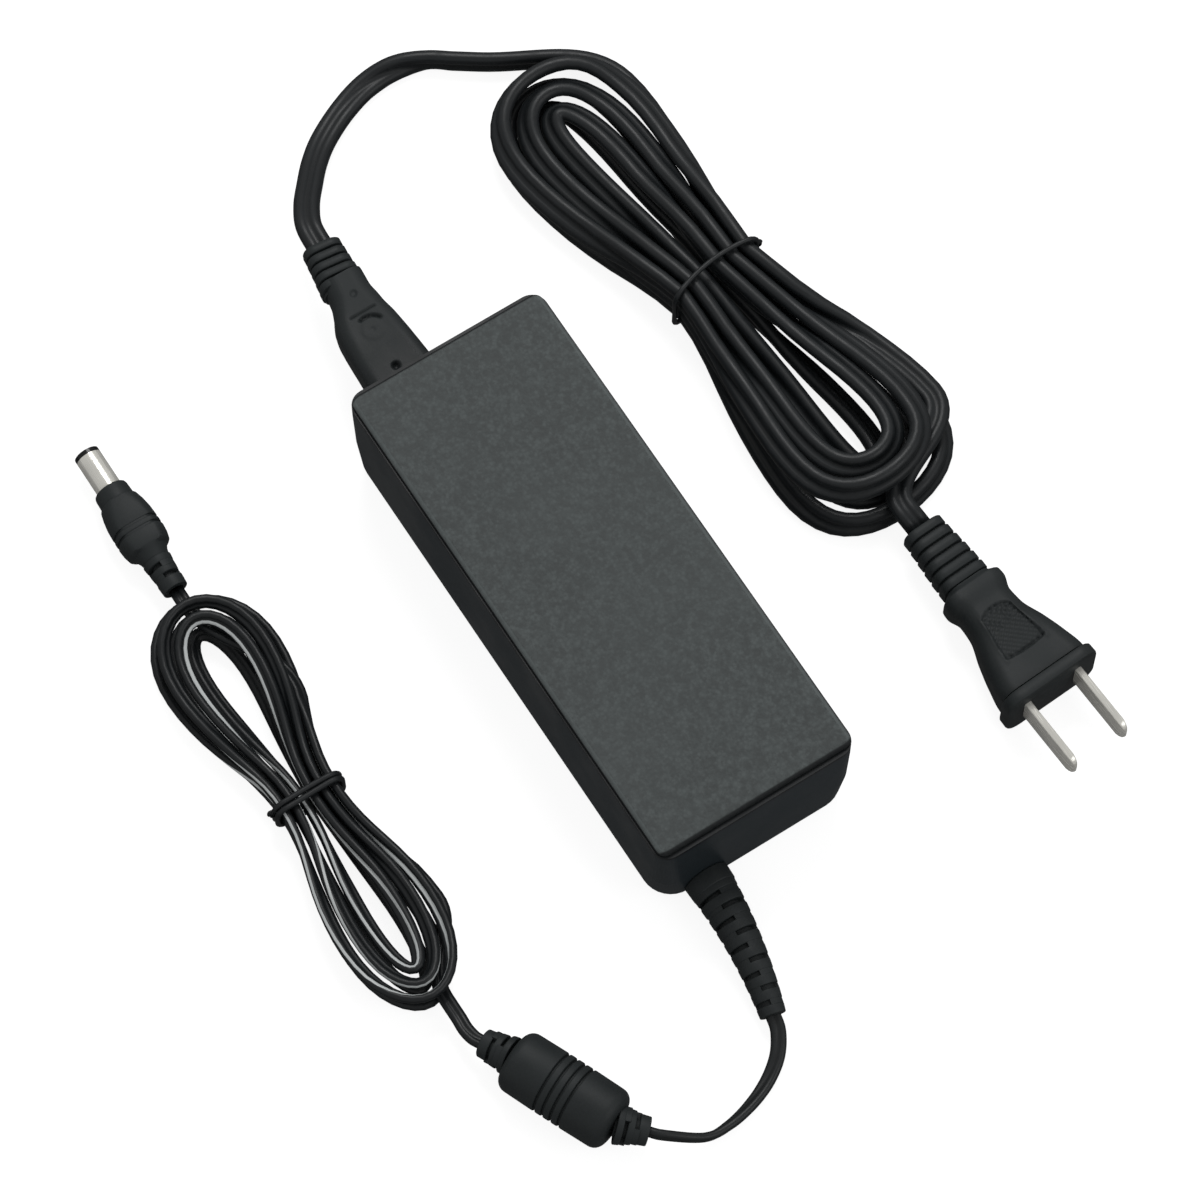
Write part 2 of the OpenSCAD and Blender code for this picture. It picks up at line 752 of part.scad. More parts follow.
module ferrite_core() {
    color([0.25, 0.25, 0.27])
        at_choke()
            difference() {
                cylinder(d = ferrite_d, h = ferrite_l, center = true);
                cylinder(d = ferrite_bore, h = ferrite_l + 2, center = true);
            }
}

module dc_cord_in_choke() {
    color(RUBBER_BLACK) at_choke() cylinder(d = 3, h = ferrite_l, center = true);
}

// ---------- output hank ----------

dc_hank_at = [2.2, -71];
dc_hank_turn = 179;
DC_START = [-53.3, 2.5, 4.7, 0];
DC_START_WAY = -1;
DC_END = [53, 0.5, 5.3, 0];
DC_END_WAY = -1;

DC_HANK = [52, 3.4, -0.08, 20, 26, 6.4, 6.8, 2.3, dc_cord_w, dc_cord_t, 0.5, 1.4, 3.3, 3.8,
           1.6, 1, 45, 1920, DC_START, DC_START_WAY, DC_END, DC_END_WAY, 2, 4.6, 54, 0.7];

// A hank's point in the frame of the whole part. Side is -1 where the hank is mirrored.
function placed(p, at, turn, side) =
    [at[0] + p[0] * cos(turn) - side * p[1] * sin(turn),
     at[1] + p[0] * sin(turn) + side * p[1] * cos(turn), p[2], p[3]];

function placed_route(h, at, turn, side) =
    [for (p = hank_route(h)) placed(p, at, turn, side)];

// Half a turn of rings, and the distance at which two rings can be near each other.
APART = 10;
NEAR = 14;

module hank(h, at, turn, side) {
    route = placed_route(h, at, turn, side);
    rings = cord_rings(route, h[CORD_W], h[CORD_T], HANK_SIDES);
    echo(least_gap = least_gap(rings, APART, NEAR), cord_length = run_length(route));
    flat_cord(route, h[CORD_W], h[CORD_T], HANK_SIDES);
}

module dc_hank() {
    color(RUBBER_BLACK) hank(DC_HANK, dc_hank_at, dc_hank_turn, -1);
}

dc_hank_start = placed(DC_START, dc_hank_at, dc_hank_turn, -1);

DC_ROUTE_2 = [
    [choke_out[0], choke_out[1], choke_out[2], 20],
    [choke_out_ahead[0], choke_out_ahead[1], choke_out_ahead[2], 10],
    [60.2, -69.6, 5.2, 0],
    [dc_hank_start[0] + 2, dc_hank_start[1], dc_hank_start[2], 0],
    dc_hank_start];

module dc_cord_to_hank() {
    color(RUBBER_BLACK) flat_cord(DC_ROUTE_2, dc_cord_w, dc_cord_t, DC_SIDES);
}

// A wire tie round a hank, in the hank's frame: a round-cornered loop in the v-z plane.
module tie_loop(v_low, v_high, z_top, wire_d, corner) {
    r = wire_d / 2;
    half = (v_high - v_low) / 2;
    tall = z_top / 2;
    translate([0, (v_low + v_high) / 2, tall])
        rotate([90, 0, 90]) {
            for (s = [-1, 1]) {
                translate([0, s * (tall - r), 0])
                    rotate([0, 90, 0]) cylinder(d = wire_d, h = 2 * (half - r - corner),
                                                center = true);
                translate([s * (half - r), 0, 0])
                    rotate([90, 0, 0]) cylinder(d = wire_d, h = 2 * (tall - r - corner),
                                                center = true);
            }
            for (q = [0 : 3])
                rotate([0, 0, 90 * q])
                    translate([(q % 2 == 0 ? half : tall) - r - corner,
                               (q % 2 == 0 ? tall : half) - r - corner, 0])
                        rotate_extrude(angle = 90) translate([corner, 0]) circle(r);
        }
}

tie_corner = 1.6;
tie_clear = 0.4;
dc_tie_d = 1.2;
dc_tie_pitch = 1.3;
dc_tail_l = 5;

// How far a tie reaches across its hank on the +v side, on the -v side and upwards.
function tie_high(h, d) = h[WAIST_V] - h[WAIST_STEP] / 4 + h[CORD_T] / 2 + tie_clear + d;
function tie_low(h, d) = h[WAIST_STEP] / 2 - tie_high(h, d);
function tie_top(h, d) = h[TIE_LIFT] + 2 * h[CORD_W] + h[LAYER_GAP] + tie_clear + d;

dc_tie_low = tie_low(DC_HANK, dc_tie_d);
dc_tie_high = tie_high(DC_HANK, dc_tie_d);
dc_tie_top = tie_top(DC_HANK, dc_tie_d);

// The output cord's tie goes round twice, with its twisted ends at one side.
module dc_tie() {
    color(RUBBER_BLACK)
        translate([dc_hank_at[0], dc_hank_at[1], 0]) rotate([0, 0, dc_hank_turn]) mirror([0, 1, 0]) {
            for (s = [-1, 1])
                translate([s * dc_tie_pitch / 2, 0, 0])
                    tie_loop(dc_tie_low, dc_tie_high, dc_tie_top, dc_tie_d, tie_corner);
            translate([0, dc_tie_low + dc_tie_d / 2, dc_tie_top / 2]) cube([2.4, 1.1, 3],
                                                                       center = true);
            translate([0, dc_tie_low + dc_tie_d / 2, dc_tie_top / 2]) rotate([50, 0, 0])
                cylinder(d = 1.7, h = dc_tail_l);
        }
}

// ---------- output plug ----------

dc_plug_y = placed(DC_END, dc_hank_at, dc_hank_turn, -1)[1];
dc_plug_z = DC_END[2];
dc_plug_back = placed(DC_END, dc_hank_at, dc_hank_turn, -1)[0];
dc_boot_l = 7.6;
dc_handle_l = 18.6;
dc_boot_rings = [7.6, 6.8, 6];
handle_front = dc_plug_back - dc_boot_l - dc_handle_l;
sleeve_r = barrel_od / 2;
sleeve_t = 0.35;
contact_r = barrel_id / 2;
contact_t = 0.3;
tip_l = 1;
sleeve_root = 6;
sleeve_root_r = 3.2;

// Turns a shape drawn along +Z so that it runs along -X from x on the plug's axis.
module on_dc_plug(x) {
    translate([x, dc_plug_y, dc_plug_z]) rotate([0, -90, 0]) children();
}

// The handle's outline: [distance from its rear end, radius].
DC_HANDLE = [[0, 0], [0, 3.6], [2.6, 4.7], [5, 5.2], [6.3, 5.2], [6.3, 4.85], [6.9, 4.85],
             [6.9, 5.25], [7.9, 5.2], [7.9, 4.85], [8.5, 4.85], [8.5, 5.2], [11.5, 5],
             [15, 4.5], [15.4, 4], [18, 3.9], [18.6, 3.6], [18.6, 0]];

module dc_plug_handle() {
    color(RUBBER_BLACK)
        difference() {
            union() {
                on_dc_plug(dc_plug_back - dc_boot_l)
                    rotate_extrude() polygon([for (p = DC_HANDLE) [p[1], p[0]]]);
                on_dc_plug(dc_plug_back - dc_boot_l - EPS)
                    mirror([0, 0, 1]) ringed_boot(dc_boot_rings, 4.4, dc_boot_l + EPS);
            }
            on_dc_plug(handle_front + sleeve_root)
                cylinder(r = sleeve_root_r, h = sleeve_root + 1);
        }
}

// The plated sleeve: a wider root held in the handle, and the barrel in front of it.
module barrel_sleeve() {
    color(METAL)
        on_dc_plug(handle_front + sleeve_root)
            difference() {
                union() {
                    cylinder(r = sleeve_root_r, h = sleeve_root);
                    translate([0, 0, sleeve_root - EPS])
                        cylinder(r = sleeve_r, h = barrel_l - tip_l + EPS);
                }
                translate([0, 0, -1])
                    cylinder(r = sleeve_r - sleeve_t, h = sleeve_root + barrel_l + 2);
            }
}

// The black liner between sleeve and contact, which ends in the ring at the plug's tip.
module barrel_insulator() {
    color([0.05, 0.05, 0.05])
        on_dc_plug(handle_front + sleeve_root)
            difference() {
                union() {
                    cylinder(r = sleeve_r - sleeve_t, h = sleeve_root + barrel_l);
                    translate([0, 0, sleeve_root + barrel_l - tip_l])
                        cylinder(r = sleeve_r, h = tip_l);
                }
                translate([0, 0, 2]) cylinder(r = contact_r + contact_t, h = 40);
            }
}

contact_l = 12;

module barrel_inner_contact() {
    color(METAL)
        on_dc_plug(handle_front - barrel_l + contact_l + 0.6)
            difference() {
                cylinder(r = contact_r + contact_t, h = contact_l);
                translate([0, 0, 1]) cylinder(r = contact_r, h = contact_l);
            }
}

// ---------- mains connector ----------

connector_w = 15.2;
connector_t = 9;
connector_face = -brick_end - 0.3;
neck_at = -80;
neck_yaw = 6;
neck_pitch = 4;
rib_l = 11.2;
rib_from = 6;
rib_w = [9.6, 9.3, 9, 8.7, 8.4];
rib_t = [7.4, 7.1, 6.8, 6.5, 6.2];
rib_core_w = 7.2;
rib_core_t = 5;
contact_tube_r = 1.7;
contact_clear = 0.05;
contact_tube_l = 9.6;

// The connector's plan: [distance behind its face, width, thickness].
CONNECTOR = [[13, 15.2, 9], [16.5, 13.2, 8.8], [20, 10.4, 8], [25, 9.4, 7.4], [27, 9.4, 7.4]];

// A section of the connector at a distance behind its face, as a thin oval plate.
module connector_slice(s) {
    back = s[0] - (neck_at + brick_end) * -1;
    translate([connector_face - s[0], inlet_y + max(0, back) * tan(neck_yaw),
               inlet_z - max(0, back) * tan(neck_pitch)])
        along_x() linear_extrude(0.1) round_rect(s[1], s[2], s[2] * 0.42, $fn = HULL_FN);
}

module on_neck(l) {
    translate([neck_at, inlet_y, inlet_z]) rotate([0, 0, 180 - neck_yaw])
        rotate([0, neck_pitch, 0]) translate([l, 0, 0]) along_x() children();
}

module ribs(widths, thicknesses, core_w, core_t, l) {
    pitch = l / len(widths);
    linear_extrude(l) stadium(core_w, core_t);
    for (i = [0 : len(widths) - 1])
        translate([0, 0, pitch * (i + 0.32)])
            linear_extrude(pitch * 0.68) stadium(widths[i], thicknesses[i]);
}

module ac_connector() {
    color(RUBBER_BLACK)
        difference() {
            union() {
                at_inlet(connector_face - 13)
                    linear_extrude(13) round_rect(connector_w, connector_t, 2.6);
                at_inlet(connector_face - EPS) linear_extrude(nose_l) nose_outline(0);
                for (i = [0 : len(CONNECTOR) - 2])
                    hull() {
                        connector_slice(CONNECTOR[i]);
                        connector_slice(CONNECTOR[i + 1]);
                    }
                on_neck(rib_from)
                    ribs(rib_w, rib_t, rib_core_w, rib_core_t, rib_l);
            }
            for (s = [-1, 1])
                translate([connector_face + nose_l + 1, inlet_y + s * pin_pitch / 2, inlet_z])
                    rotate([0, -90, 0]) cylinder(r = contact_tube_r, h = contact_tube_l + 1.3);
        }
}

module connector_contacts() {
    color(METAL)
        for (s = [-1, 1])
            translate([connector_face + nose_l - 0.3, inlet_y + s * pin_pitch / 2, inlet_z])
                rotate([0, -90, 0])
                    difference() {
                        cylinder(r = contact_tube_r, h = contact_tube_l);
                        translate([0, 0, -1])
                            cylinder(r = pin_d / 2 + contact_clear, h = contact_tube_l + 2);
                    }
}

// ---------- mains cord ----------

neck_end_l = rib_from + rib_l;
neck_dir = turned(180 - neck_yaw, neck_pitch, 1);
neck_end = [neck_at, inlet_y, inlet_z] + neck_dir * neck_end_l;
neck_out = neck_end + neck_dir * ac_cord_w;

ac_hank_at = [-49.1, 59.3];
ac_hank_turn = 7;
AC_START = [-76.5, -7.5, ac_cord_w / 2, 90];
AC_START_WAY = 48;
AC_END = [70, -2.9, 7.55, 0];
AC_END_WAY = -3.7;

AC_HANK = [64.6, 4.8, 0.04, 25, 30, 9.3, 10.35, 3.45, ac_cord_w, ac_cord_t, 0.6, 1.6, 0,
           4.4, 3, 1.5, 45, 1935, AC_START, AC_START_WAY, AC_END, AC_END_WAY, 1.3, 6.2, 54, 0.7];

ac_hank_start = placed(AC_START, ac_hank_at, ac_hank_turn, 1);
ac_start_dir = turned(AC_START_WAY + ac_hank_turn, 0, ac_cord_w);

// The free mains cord: flat at the connector, down to the surface, round an open bend, and
// on edge where it joins the hank.
AC_ROUTE = [
    [neck_end[0], neck_end[1], neck_end[2], 0],
    [neck_out[0], neck_out[1], neck_out[2], 0],
    [-108, -3, 11, 0],
    [-113, 0.6, 8, 0],
    [-118.5, 5, 4.6, 0],
    [-123, 10, 2.6, 0],
    [-127, 17, 1.7, 0],
    [-129.3, 24, 1.8, 15],
    [-129.4, 31, 2.3, 45],
    [ac_hank_start[0] - ac_start_dir[0], ac_hank_start[1] - ac_start_dir[1], 2.8, 90],
    ac_hank_start];

module ac_cord() {
    color(RUBBER_BLACK) flat_cord(AC_ROUTE, ac_cord_w, ac_cord_t, DC_SIDES);
}

module ac_hank() {
    color(RUBBER_BLACK) hank(AC_HANK, ac_hank_at, ac_hank_turn, 1);
}

module in_ac_frame() {
    translate([ac_hank_at[0], ac_hank_at[1], 0]) rotate([0, 0, ac_hank_turn]) children();
}

ac_tie_d = 1.3;
ac_tie_low = tie_low(AC_HANK, ac_tie_d);
ac_tie_high = tie_high(AC_HANK, ac_tie_d);
ac_tie_top = tie_top(AC_HANK, ac_tie_d);

// The mains cord's tie goes round once, with its twisted end at one upper corner.
module ac_tie() {
    color(RUBBER_BLACK)
        in_ac_frame() {
            tie_loop(ac_tie_low, ac_tie_high, ac_tie_top, ac_tie_d, tie_corner);
            translate([0, ac_tie_high - ac_tie_d / 2, ac_tie_top - 3]) rotate([-35, 0, 0])
                cylinder(d = 1.5, h = 3.2);
        }
}

// ---------- mains plug ----------

plug_z = AC_END[2];
plug_at = placed(AC_END, ac_hank_at, ac_hank_turn, 1);
plug_from = 0;
plug_rib_l = 15.3;
plug_rib_w = [9.2, 9.5, 9.9, 10.3, 10.6];
plug_rib_t = [7, 7.2, 7.4, 7.6, 7.8];
plug_body_from = plug_from + plug_rib_l;
plug_body_l = 25.2;
plug_face = plug_body_from + plug_body_l + 3;
flange_w = 22.4;
flange_h = 14.6;

// The plug's plan: [distance from the start of its body, width, height].
PLUG = [[0, 10.6, 8.4], [1.6, 14, 10], [3.2, 14.2, 10.2], [6, 12.4, 9.8], [10, 12.8, 9.8],
        [16, 17, 10.8], [22, 19.8, 11.6], [25.2, 20.6, 11.8]];

module plug_slice(s) {
    translate([plug_body_from + s[0], 0, plug_z])
        along_x() linear_extrude(0.1) round_rect(s[1], s[2], 3.4, $fn = HULL_FN);
}

pad_from = 7.5;
pad_l = 12;
pad_w_back = 6.4;
pad_w_front = 9.6;
pad_depth = 0.5;

// The sunk grip pad on the plug's upper side.
module grip_pad() {
    translate([plug_body_from + pad_from, 0, plug_z + 4.9 - pad_depth])
        linear_extrude(4)
            polygon([[0, -pad_w_back / 2], [pad_l, -pad_w_front / 2],
                     [pad_l, pad_w_front / 2], [0, pad_w_back / 2]]);
}

module in_plug_frame() {
    translate([plug_at[0], plug_at[1], 0]) rotate([0, 0, ac_hank_turn + AC_END_WAY]) children();
}

module ac_plug() {
    color(RUBBER_BLACK)
        in_plug_frame() {
            translate([plug_from, 0, plug_z]) along_x()
                ribs([for (i = [0 : 4]) plug_rib_w[i]], [for (i = [0 : 4]) plug_rib_t[i]],
                     6.6, 5.2, plug_rib_l);
            for (i = [0 : len(PLUG) - 2])
                hull() {
                    plug_slice(PLUG[i]);
                    plug_slice(PLUG[i + 1]);
                }
            translate([plug_body_from + plug_body_l, 0, plug_z])
                along_x() linear_extrude(3) round_rect(flange_w, flange_h, 3.6);
        }
}

blade_w = 6.35;
blade_t = 1.5;
blade_bevel = 1.2;

// One flat blade on edge, its corners cut at the tip.
module blade(side) {
    color(METAL)
        in_plug_frame()
            translate([plug_face, side * blade_pitch / 2 + blade_t / 2, plug_z])
                rotate([90, 0, 0])
                    linear_extrude(blade_t)
                        polygon([[0, -blade_w / 2], [blade_l - blade_bevel, -blade_w / 2],
                                 [blade_l, -blade_w / 2 + blade_bevel],
                                 [blade_l, blade_w / 2 - blade_bevel],
                                 [blade_l - blade_bevel, blade_w / 2], [0, blade_w / 2]]);
}

lower_shell();
upper_shell();
ac_inlet_housing();
inlet_pins();
ac_lead_wires();
circuit_board();
fuse();
x_capacitor();
common_mode_choke();
bridge_rectifier();
bulk_capacitor();
primary_heat_sink();
switching_transistor();
transformer_core();
transformer_winding();
y_capacitor();
optocoupler();
secondary_heat_sink();
output_rectifier();
output_capacitors();
insulating_sheet();
dc_lead_wires();
dc_strain_relief();
dc_cord();
choke_housing();
ferrite_core();
dc_cord_in_choke();
dc_cord_to_hank();
dc_hank();
dc_tie();
dc_plug_handle();
barrel_sleeve();
barrel_insulator();
barrel_inner_contact();
ac_connector();
connector_contacts();
ac_cord();
ac_hank();
ac_tie();
ac_plug();
blade(1);  // blade_left
blade(-1);  // blade_right
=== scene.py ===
# Looks for the laptop power adapter. Lengths in the helpers are millimetres in the row frame:
# the origin is the centre of the brick's bottom face, +X is its output end, +Z is up.
import json
import math
from dataclasses import dataclass

import bpy
from mathutils import Matrix, Vector


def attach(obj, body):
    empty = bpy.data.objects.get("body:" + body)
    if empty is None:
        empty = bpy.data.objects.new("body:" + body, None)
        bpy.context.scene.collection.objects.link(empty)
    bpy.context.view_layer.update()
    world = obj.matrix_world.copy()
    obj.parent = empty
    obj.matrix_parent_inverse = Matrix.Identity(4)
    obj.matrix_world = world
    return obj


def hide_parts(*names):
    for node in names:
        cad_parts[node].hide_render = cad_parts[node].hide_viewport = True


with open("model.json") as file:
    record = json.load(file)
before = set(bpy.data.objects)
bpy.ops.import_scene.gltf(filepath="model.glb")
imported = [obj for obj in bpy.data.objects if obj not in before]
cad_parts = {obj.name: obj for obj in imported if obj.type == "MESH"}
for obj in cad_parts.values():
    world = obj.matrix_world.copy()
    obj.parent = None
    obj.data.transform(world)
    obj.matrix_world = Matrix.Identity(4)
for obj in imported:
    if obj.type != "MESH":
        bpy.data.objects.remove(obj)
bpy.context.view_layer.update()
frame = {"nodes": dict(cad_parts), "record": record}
MM = 0.001
ADAPTER, CORD_SET = "adapter", "mains_cord_set"


# ---------- camera ----------
CAMERA_ELEVATION, CAMERA_AZIMUTH = 68, 57.357
CAMERA_AIM, CAMERA_DISTANCE, CAMERA_LENS = Vector((-0.00421, 0.00307, 0)), 1.126, 165.27


def make_camera():
    elevation, azimuth = math.radians(CAMERA_ELEVATION), math.radians(CAMERA_AZIMUTH)
    right = Vector((math.cos(azimuth), math.sin(azimuth), 0))
    ahead = Vector((-math.sin(azimuth) * math.cos(elevation),
                    math.cos(azimuth) * math.cos(elevation), -math.sin(elevation)))
    up = right.cross(ahead)
    camera = bpy.data.objects.new("camera", bpy.data.cameras.new("camera"))
    bpy.context.scene.collection.objects.link(camera)
    turn = Matrix((right, up, -ahead)).transposed().to_4x4()
    place = CAMERA_AIM - ahead * CAMERA_DISTANCE
    camera.matrix_world = Matrix.Translation(place) @ turn
    camera.data.lens = CAMERA_LENS
    camera.data.sensor_width = 36
    camera.data.clip_end = 20
    bpy.context.scene.camera = camera


make_camera()


# ---------- materials ----------
def linear(r, g, b):
    """A screen colour, 0 to 255, as linear RGBA."""
    def one(c):
        c /= 255
        return c / 12.92 if c <= 0.04045 else ((c + 0.055) / 1.055) ** 2.4
    return one(r), one(g), one(b), 1


class Nodes:
    """A material's node tree with short calls."""

    def __init__(self, name):
        self.material = bpy.data.materials.new(name)
        self.material.use_nodes = True
        self.tree = self.material.node_tree
        self.shader = self.tree.nodes["Principled BSDF"]
        given = self.add("ShaderNodeTexCoord")
        self.place, self.normal = given.outputs["Object"], given.outputs["Normal"]

    def add(self, kind, **settings):
        node = self.tree.nodes.new(kind)
        for key, value in settings.items():
            setattr(node, key, value)
        return node

    def link(self, a, b):
        self.tree.links.new(a, b)

    def noise(self, scale, detail=3, rough=0.5, place=None):
        n = self.add("ShaderNodeTexNoise")
        n.inputs["Scale"].default_value = scale
        n.inputs["Detail"].default_value = detail
        n.inputs["Roughness"].default_value = rough
        self.link(place or self.place, n.inputs["Vector"])
        return n.outputs["Fac"]

    def cells(self, scale):
        n = self.add("ShaderNodeTexVoronoi")
        n.inputs["Scale"].default_value = scale
        self.link(self.place, n.inputs["Vector"])
        return n.outputs["Distance"]

    def split(self, vector):
        n = self.add("ShaderNodeSeparateXYZ")
        self.link(vector, n.inputs[0])
        return n.outputs

    def math(self, operation, a, b=None):
        n = self.add("ShaderNodeMath", operation=operation)
        for socket, value in zip(n.inputs, (a, b)):
            if value is None:
                continue
            if isinstance(value, (int, float)):
                socket.default_value = value
            else:
                self.link(value, socket)
        return n.outputs[0]

    def ramp(self, value, low, high, a=0.0, b=1.0):
        n = self.add("ShaderNodeMapRange", interpolation_type="SMOOTHSTEP")
        for key, v in (("From Min", low), ("From Max", high), ("To Min", a), ("To Max", b)):
            n.inputs[key].default_value = v
        self.link(value, n.inputs["Value"])
        return n.outputs[0]

    def mix(self, fac, a, b):
        n = self.add("ShaderNodeMix", data_type="RGBA")
        for socket, value in ((n.inputs[0], fac), (n.inputs[6], a), (n.inputs[7], b)):
            if isinstance(value, (tuple, float, int)):
                socket.default_value = value
            else:
                self.link(value, socket)
        return n.outputs[2]

    def bump(self, height, depth_mm, strength):
        n = self.add("ShaderNodeBump")
        n.inputs["Strength"].default_value = strength
        n.inputs["Distance"].default_value = depth_mm * MM
        self.link(height, n.inputs["Height"])
        self.link(n.outputs[0], self.shader.inputs["Normal"])

    def set(self, **values):
        for key, value in values.items():
            socket = self.shader.inputs[key.replace("_", " ")]
            if isinstance(value, (float, int, tuple)):
                socket.default_value = value
            else:
                self.link(value, socket)


def shade(colour, k):
    return tuple(c * k for c in colour[:3]) + (1,)


def lid_material():
    """Moulded plastic with a fine leathery grain. Painted shade turns the walls and the rounded
    edge black towards the two ends, and a painted highlight lightens the rounded edge along the
    sides."""
    m = Nodes("lid_grey")
    base = linear(74, 79, 79)
    grain = m.cells(1150)
    cloud = m.noise(620, 5, 0.7)
    broad = m.noise(24, 2)
    height = m.math("ADD", m.math("MULTIPLY", grain, 0.8), m.math("MULTIPLY", cloud, 0.7))
    tone = m.mix(m.ramp(cloud, 0.36, 0.64), shade(base, 0.72), shade(base, 1.34))
    tone = m.mix(m.ramp(grain, 0.2, 0.75, 0.0, 0.4), tone, shade(base, 0.66))
    tone = m.mix(m.ramp(broad, 0.35, 0.65, 0.0, 0.25), tone, shade(base, 1.15))
    x, y, z = m.split(m.normal)
    # Painted highlight: the rounded edge is lighter where it faces the sides.
    rim = m.math("MULTIPLY", m.ramp(m.math("ABSOLUTE", y), 0.1, 0.35), 0.5)
    tone = m.mix(rim, tone, shade(base, 1.9))
    # Painted shade: the walls and the rounded edge facing the two ends turn black.
    painted_shade = m.math("MAXIMUM", m.ramp(m.math("ABSOLUTE", x), 0.25, 0.6), m.ramp(z, 0.2, 0.5, 1, 0))
    tone = m.mix(m.math("MULTIPLY", painted_shade, 0.88), tone, linear(10, 13, 16))
    m.set(Base_Color=tone, Roughness=m.ramp(cloud, 0.3, 0.7, 0.56, 0.72))
    m.set(Specular_IOR_Level=0.3)
    m.bump(height, 0.07, 0.7)
    return m.material


# The heights in metres between which painted shade turns the lower shell black, just under the lid.
LEDGE_SHADE_FROM, LEDGE_SHADE_TO = 0.0271, 0.0279


def plastic(name, colour, rough=(0.36, 0.5), grain=2600, depth=0.012, spread=0.15, level=0.4,
            painted_ledge_shade=None):
    """Moulded plastic or rubber with a fine tooth and faint unevenness. Where a shade colour is
    given, it is painted shade that takes over above the lower shell's wall, just under the lid."""
    m = Nodes(name)
    fine = m.noise(grain, 3, 0.6)
    broad = m.noise(70, 3)
    tone = m.mix(m.ramp(broad, 0.3, 0.7), shade(colour, 1 - spread), shade(colour, 1 + spread))
    tone = m.mix(m.ramp(fine, 0.4, 0.7, 0.0, 0.4), tone, shade(colour, 1.25))
    if painted_ledge_shade:
        # Painted shade on the top of the lower shell's wall, just under the lid.
        height = m.split(m.place)[2]
        tone = m.mix(m.ramp(height, LEDGE_SHADE_FROM, LEDGE_SHADE_TO, 0.0, 0.85), tone, painted_ledge_shade)
    m.set(Base_Color=tone, Roughness=m.ramp(broad, 0.3, 0.7, rough[0], rough[1]))
    m.set(Specular_IOR_Level=level)
    m.bump(fine, depth, 0.8)
    return m.material


def cord_material(name, colour, rough, stripe=None):
    """Smooth flexible cord, drawn with faint lines along its length. Its UV map holds the way
    round in u and the distance along, in metres, in v. A stripe is a colour and a width in u:
    it starts on the cord's edge and wanders slowly over its broad side."""
    m = Nodes(name)
    uv = m.add("ShaderNodeUVMap", uv_map="along").outputs[0]
    around, along = m.split(uv)[:2]
    lines = m.add("ShaderNodeCombineXYZ")
    m.link(m.math("MULTIPLY", around, 26), lines.inputs[0])
    m.link(m.math("MULTIPLY", along, 22), lines.inputs[1])
    drawn = m.noise(1, 3, 0.6, lines.outputs[0])
    scuff = m.noise(240, 4, 0.65)
    tone = m.mix(m.ramp(drawn, 0.3, 0.7), shade(colour, 0.8), shade(colour, 1.25))
    tone = m.mix(m.ramp(scuff, 0.55, 0.8, 0.0, 0.35), tone, shade(colour, 2.0))
    if stripe:
        pale, width = stripe
        swing = m.math("MULTIPLY", m.math("SINE", m.math("MULTIPLY", along, 16)), 0.3)
        place = m.math("ADD", m.ramp(along, 0.02, 0.06, 0.75, 0.97), swing)
        off = m.math("PINGPONG", m.math("SUBTRACT", around, place), 0.5)
        tone = m.mix(m.ramp(off, width * 0.6, width, 0.9, 0.0), tone, pale)
    m.set(Base_Color=tone, Roughness=m.ramp(scuff, 0.4, 0.75, rough[0], rough[1]))
    m.set(Specular_IOR_Level=0.36)
    m.bump(m.math("ADD", m.math("MULTIPLY", drawn, 0.8), m.math("MULTIPLY", scuff, 0.3)), 0.02, 0.5)
    return m.material


def metal(name, colour, rough, shine=1.0):
    """Metal with fine lines of use along X."""
    m = Nodes(name)
    place = m.add("ShaderNodeMapping")
    place.inputs["Scale"].default_value = (40, 900, 900)
    m.link(m.place, place.inputs["Vector"])
    lines = m.noise(3, 4, 0.6, place.outputs[0])
    spots = m.noise(160, 3)
    tone = m.mix(m.ramp(spots, 0.35, 0.7), shade(colour, 0.9), colour)
    m.set(Base_Color=tone, Metallic=shine, Roughness=m.ramp(lines, 0.3, 0.7, rough[0], rough[1]))
    m.bump(lines, 0.006, 0.5)
    return m.material


def board_material():
    """Green solder mask with copper tracks under it."""
    m = Nodes("board_green")
    grid = m.add("ShaderNodeTexBrick")
    grid.inputs["Scale"].default_value = 160
    m.link(m.place, grid.inputs["Vector"])
    tone = m.mix(m.ramp(grid.outputs["Fac"], 0, 1), linear(24, 92, 52), linear(60, 130, 70))
    m.set(Base_Color=tone, Roughness=m.ramp(m.noise(300), 0.3, 0.7, 0.3, 0.45))
    m.bump(grid.outputs["Fac"], 0.03, 0.5)
    return m.material


def wound_material(name, colour):
    """Enamelled wire wound side by side, with painted shade in the grooves between the turns."""
    m = Nodes(name)
    wave = m.add("ShaderNodeTexWave", bands_direction="Z")
    wave.inputs["Scale"].default_value = 260
    m.link(m.place, wave.inputs["Vector"])
    # Painted shade: each turn darkens towards the grooves between the turns.
    tone = m.mix(wave.outputs["Fac"], shade(colour, 0.45), colour)
    m.set(Base_Color=tone, Roughness=0.35, Metallic=0.6)
    m.bump(wave.outputs["Fac"], 0.2, 0.7)
    return m.material


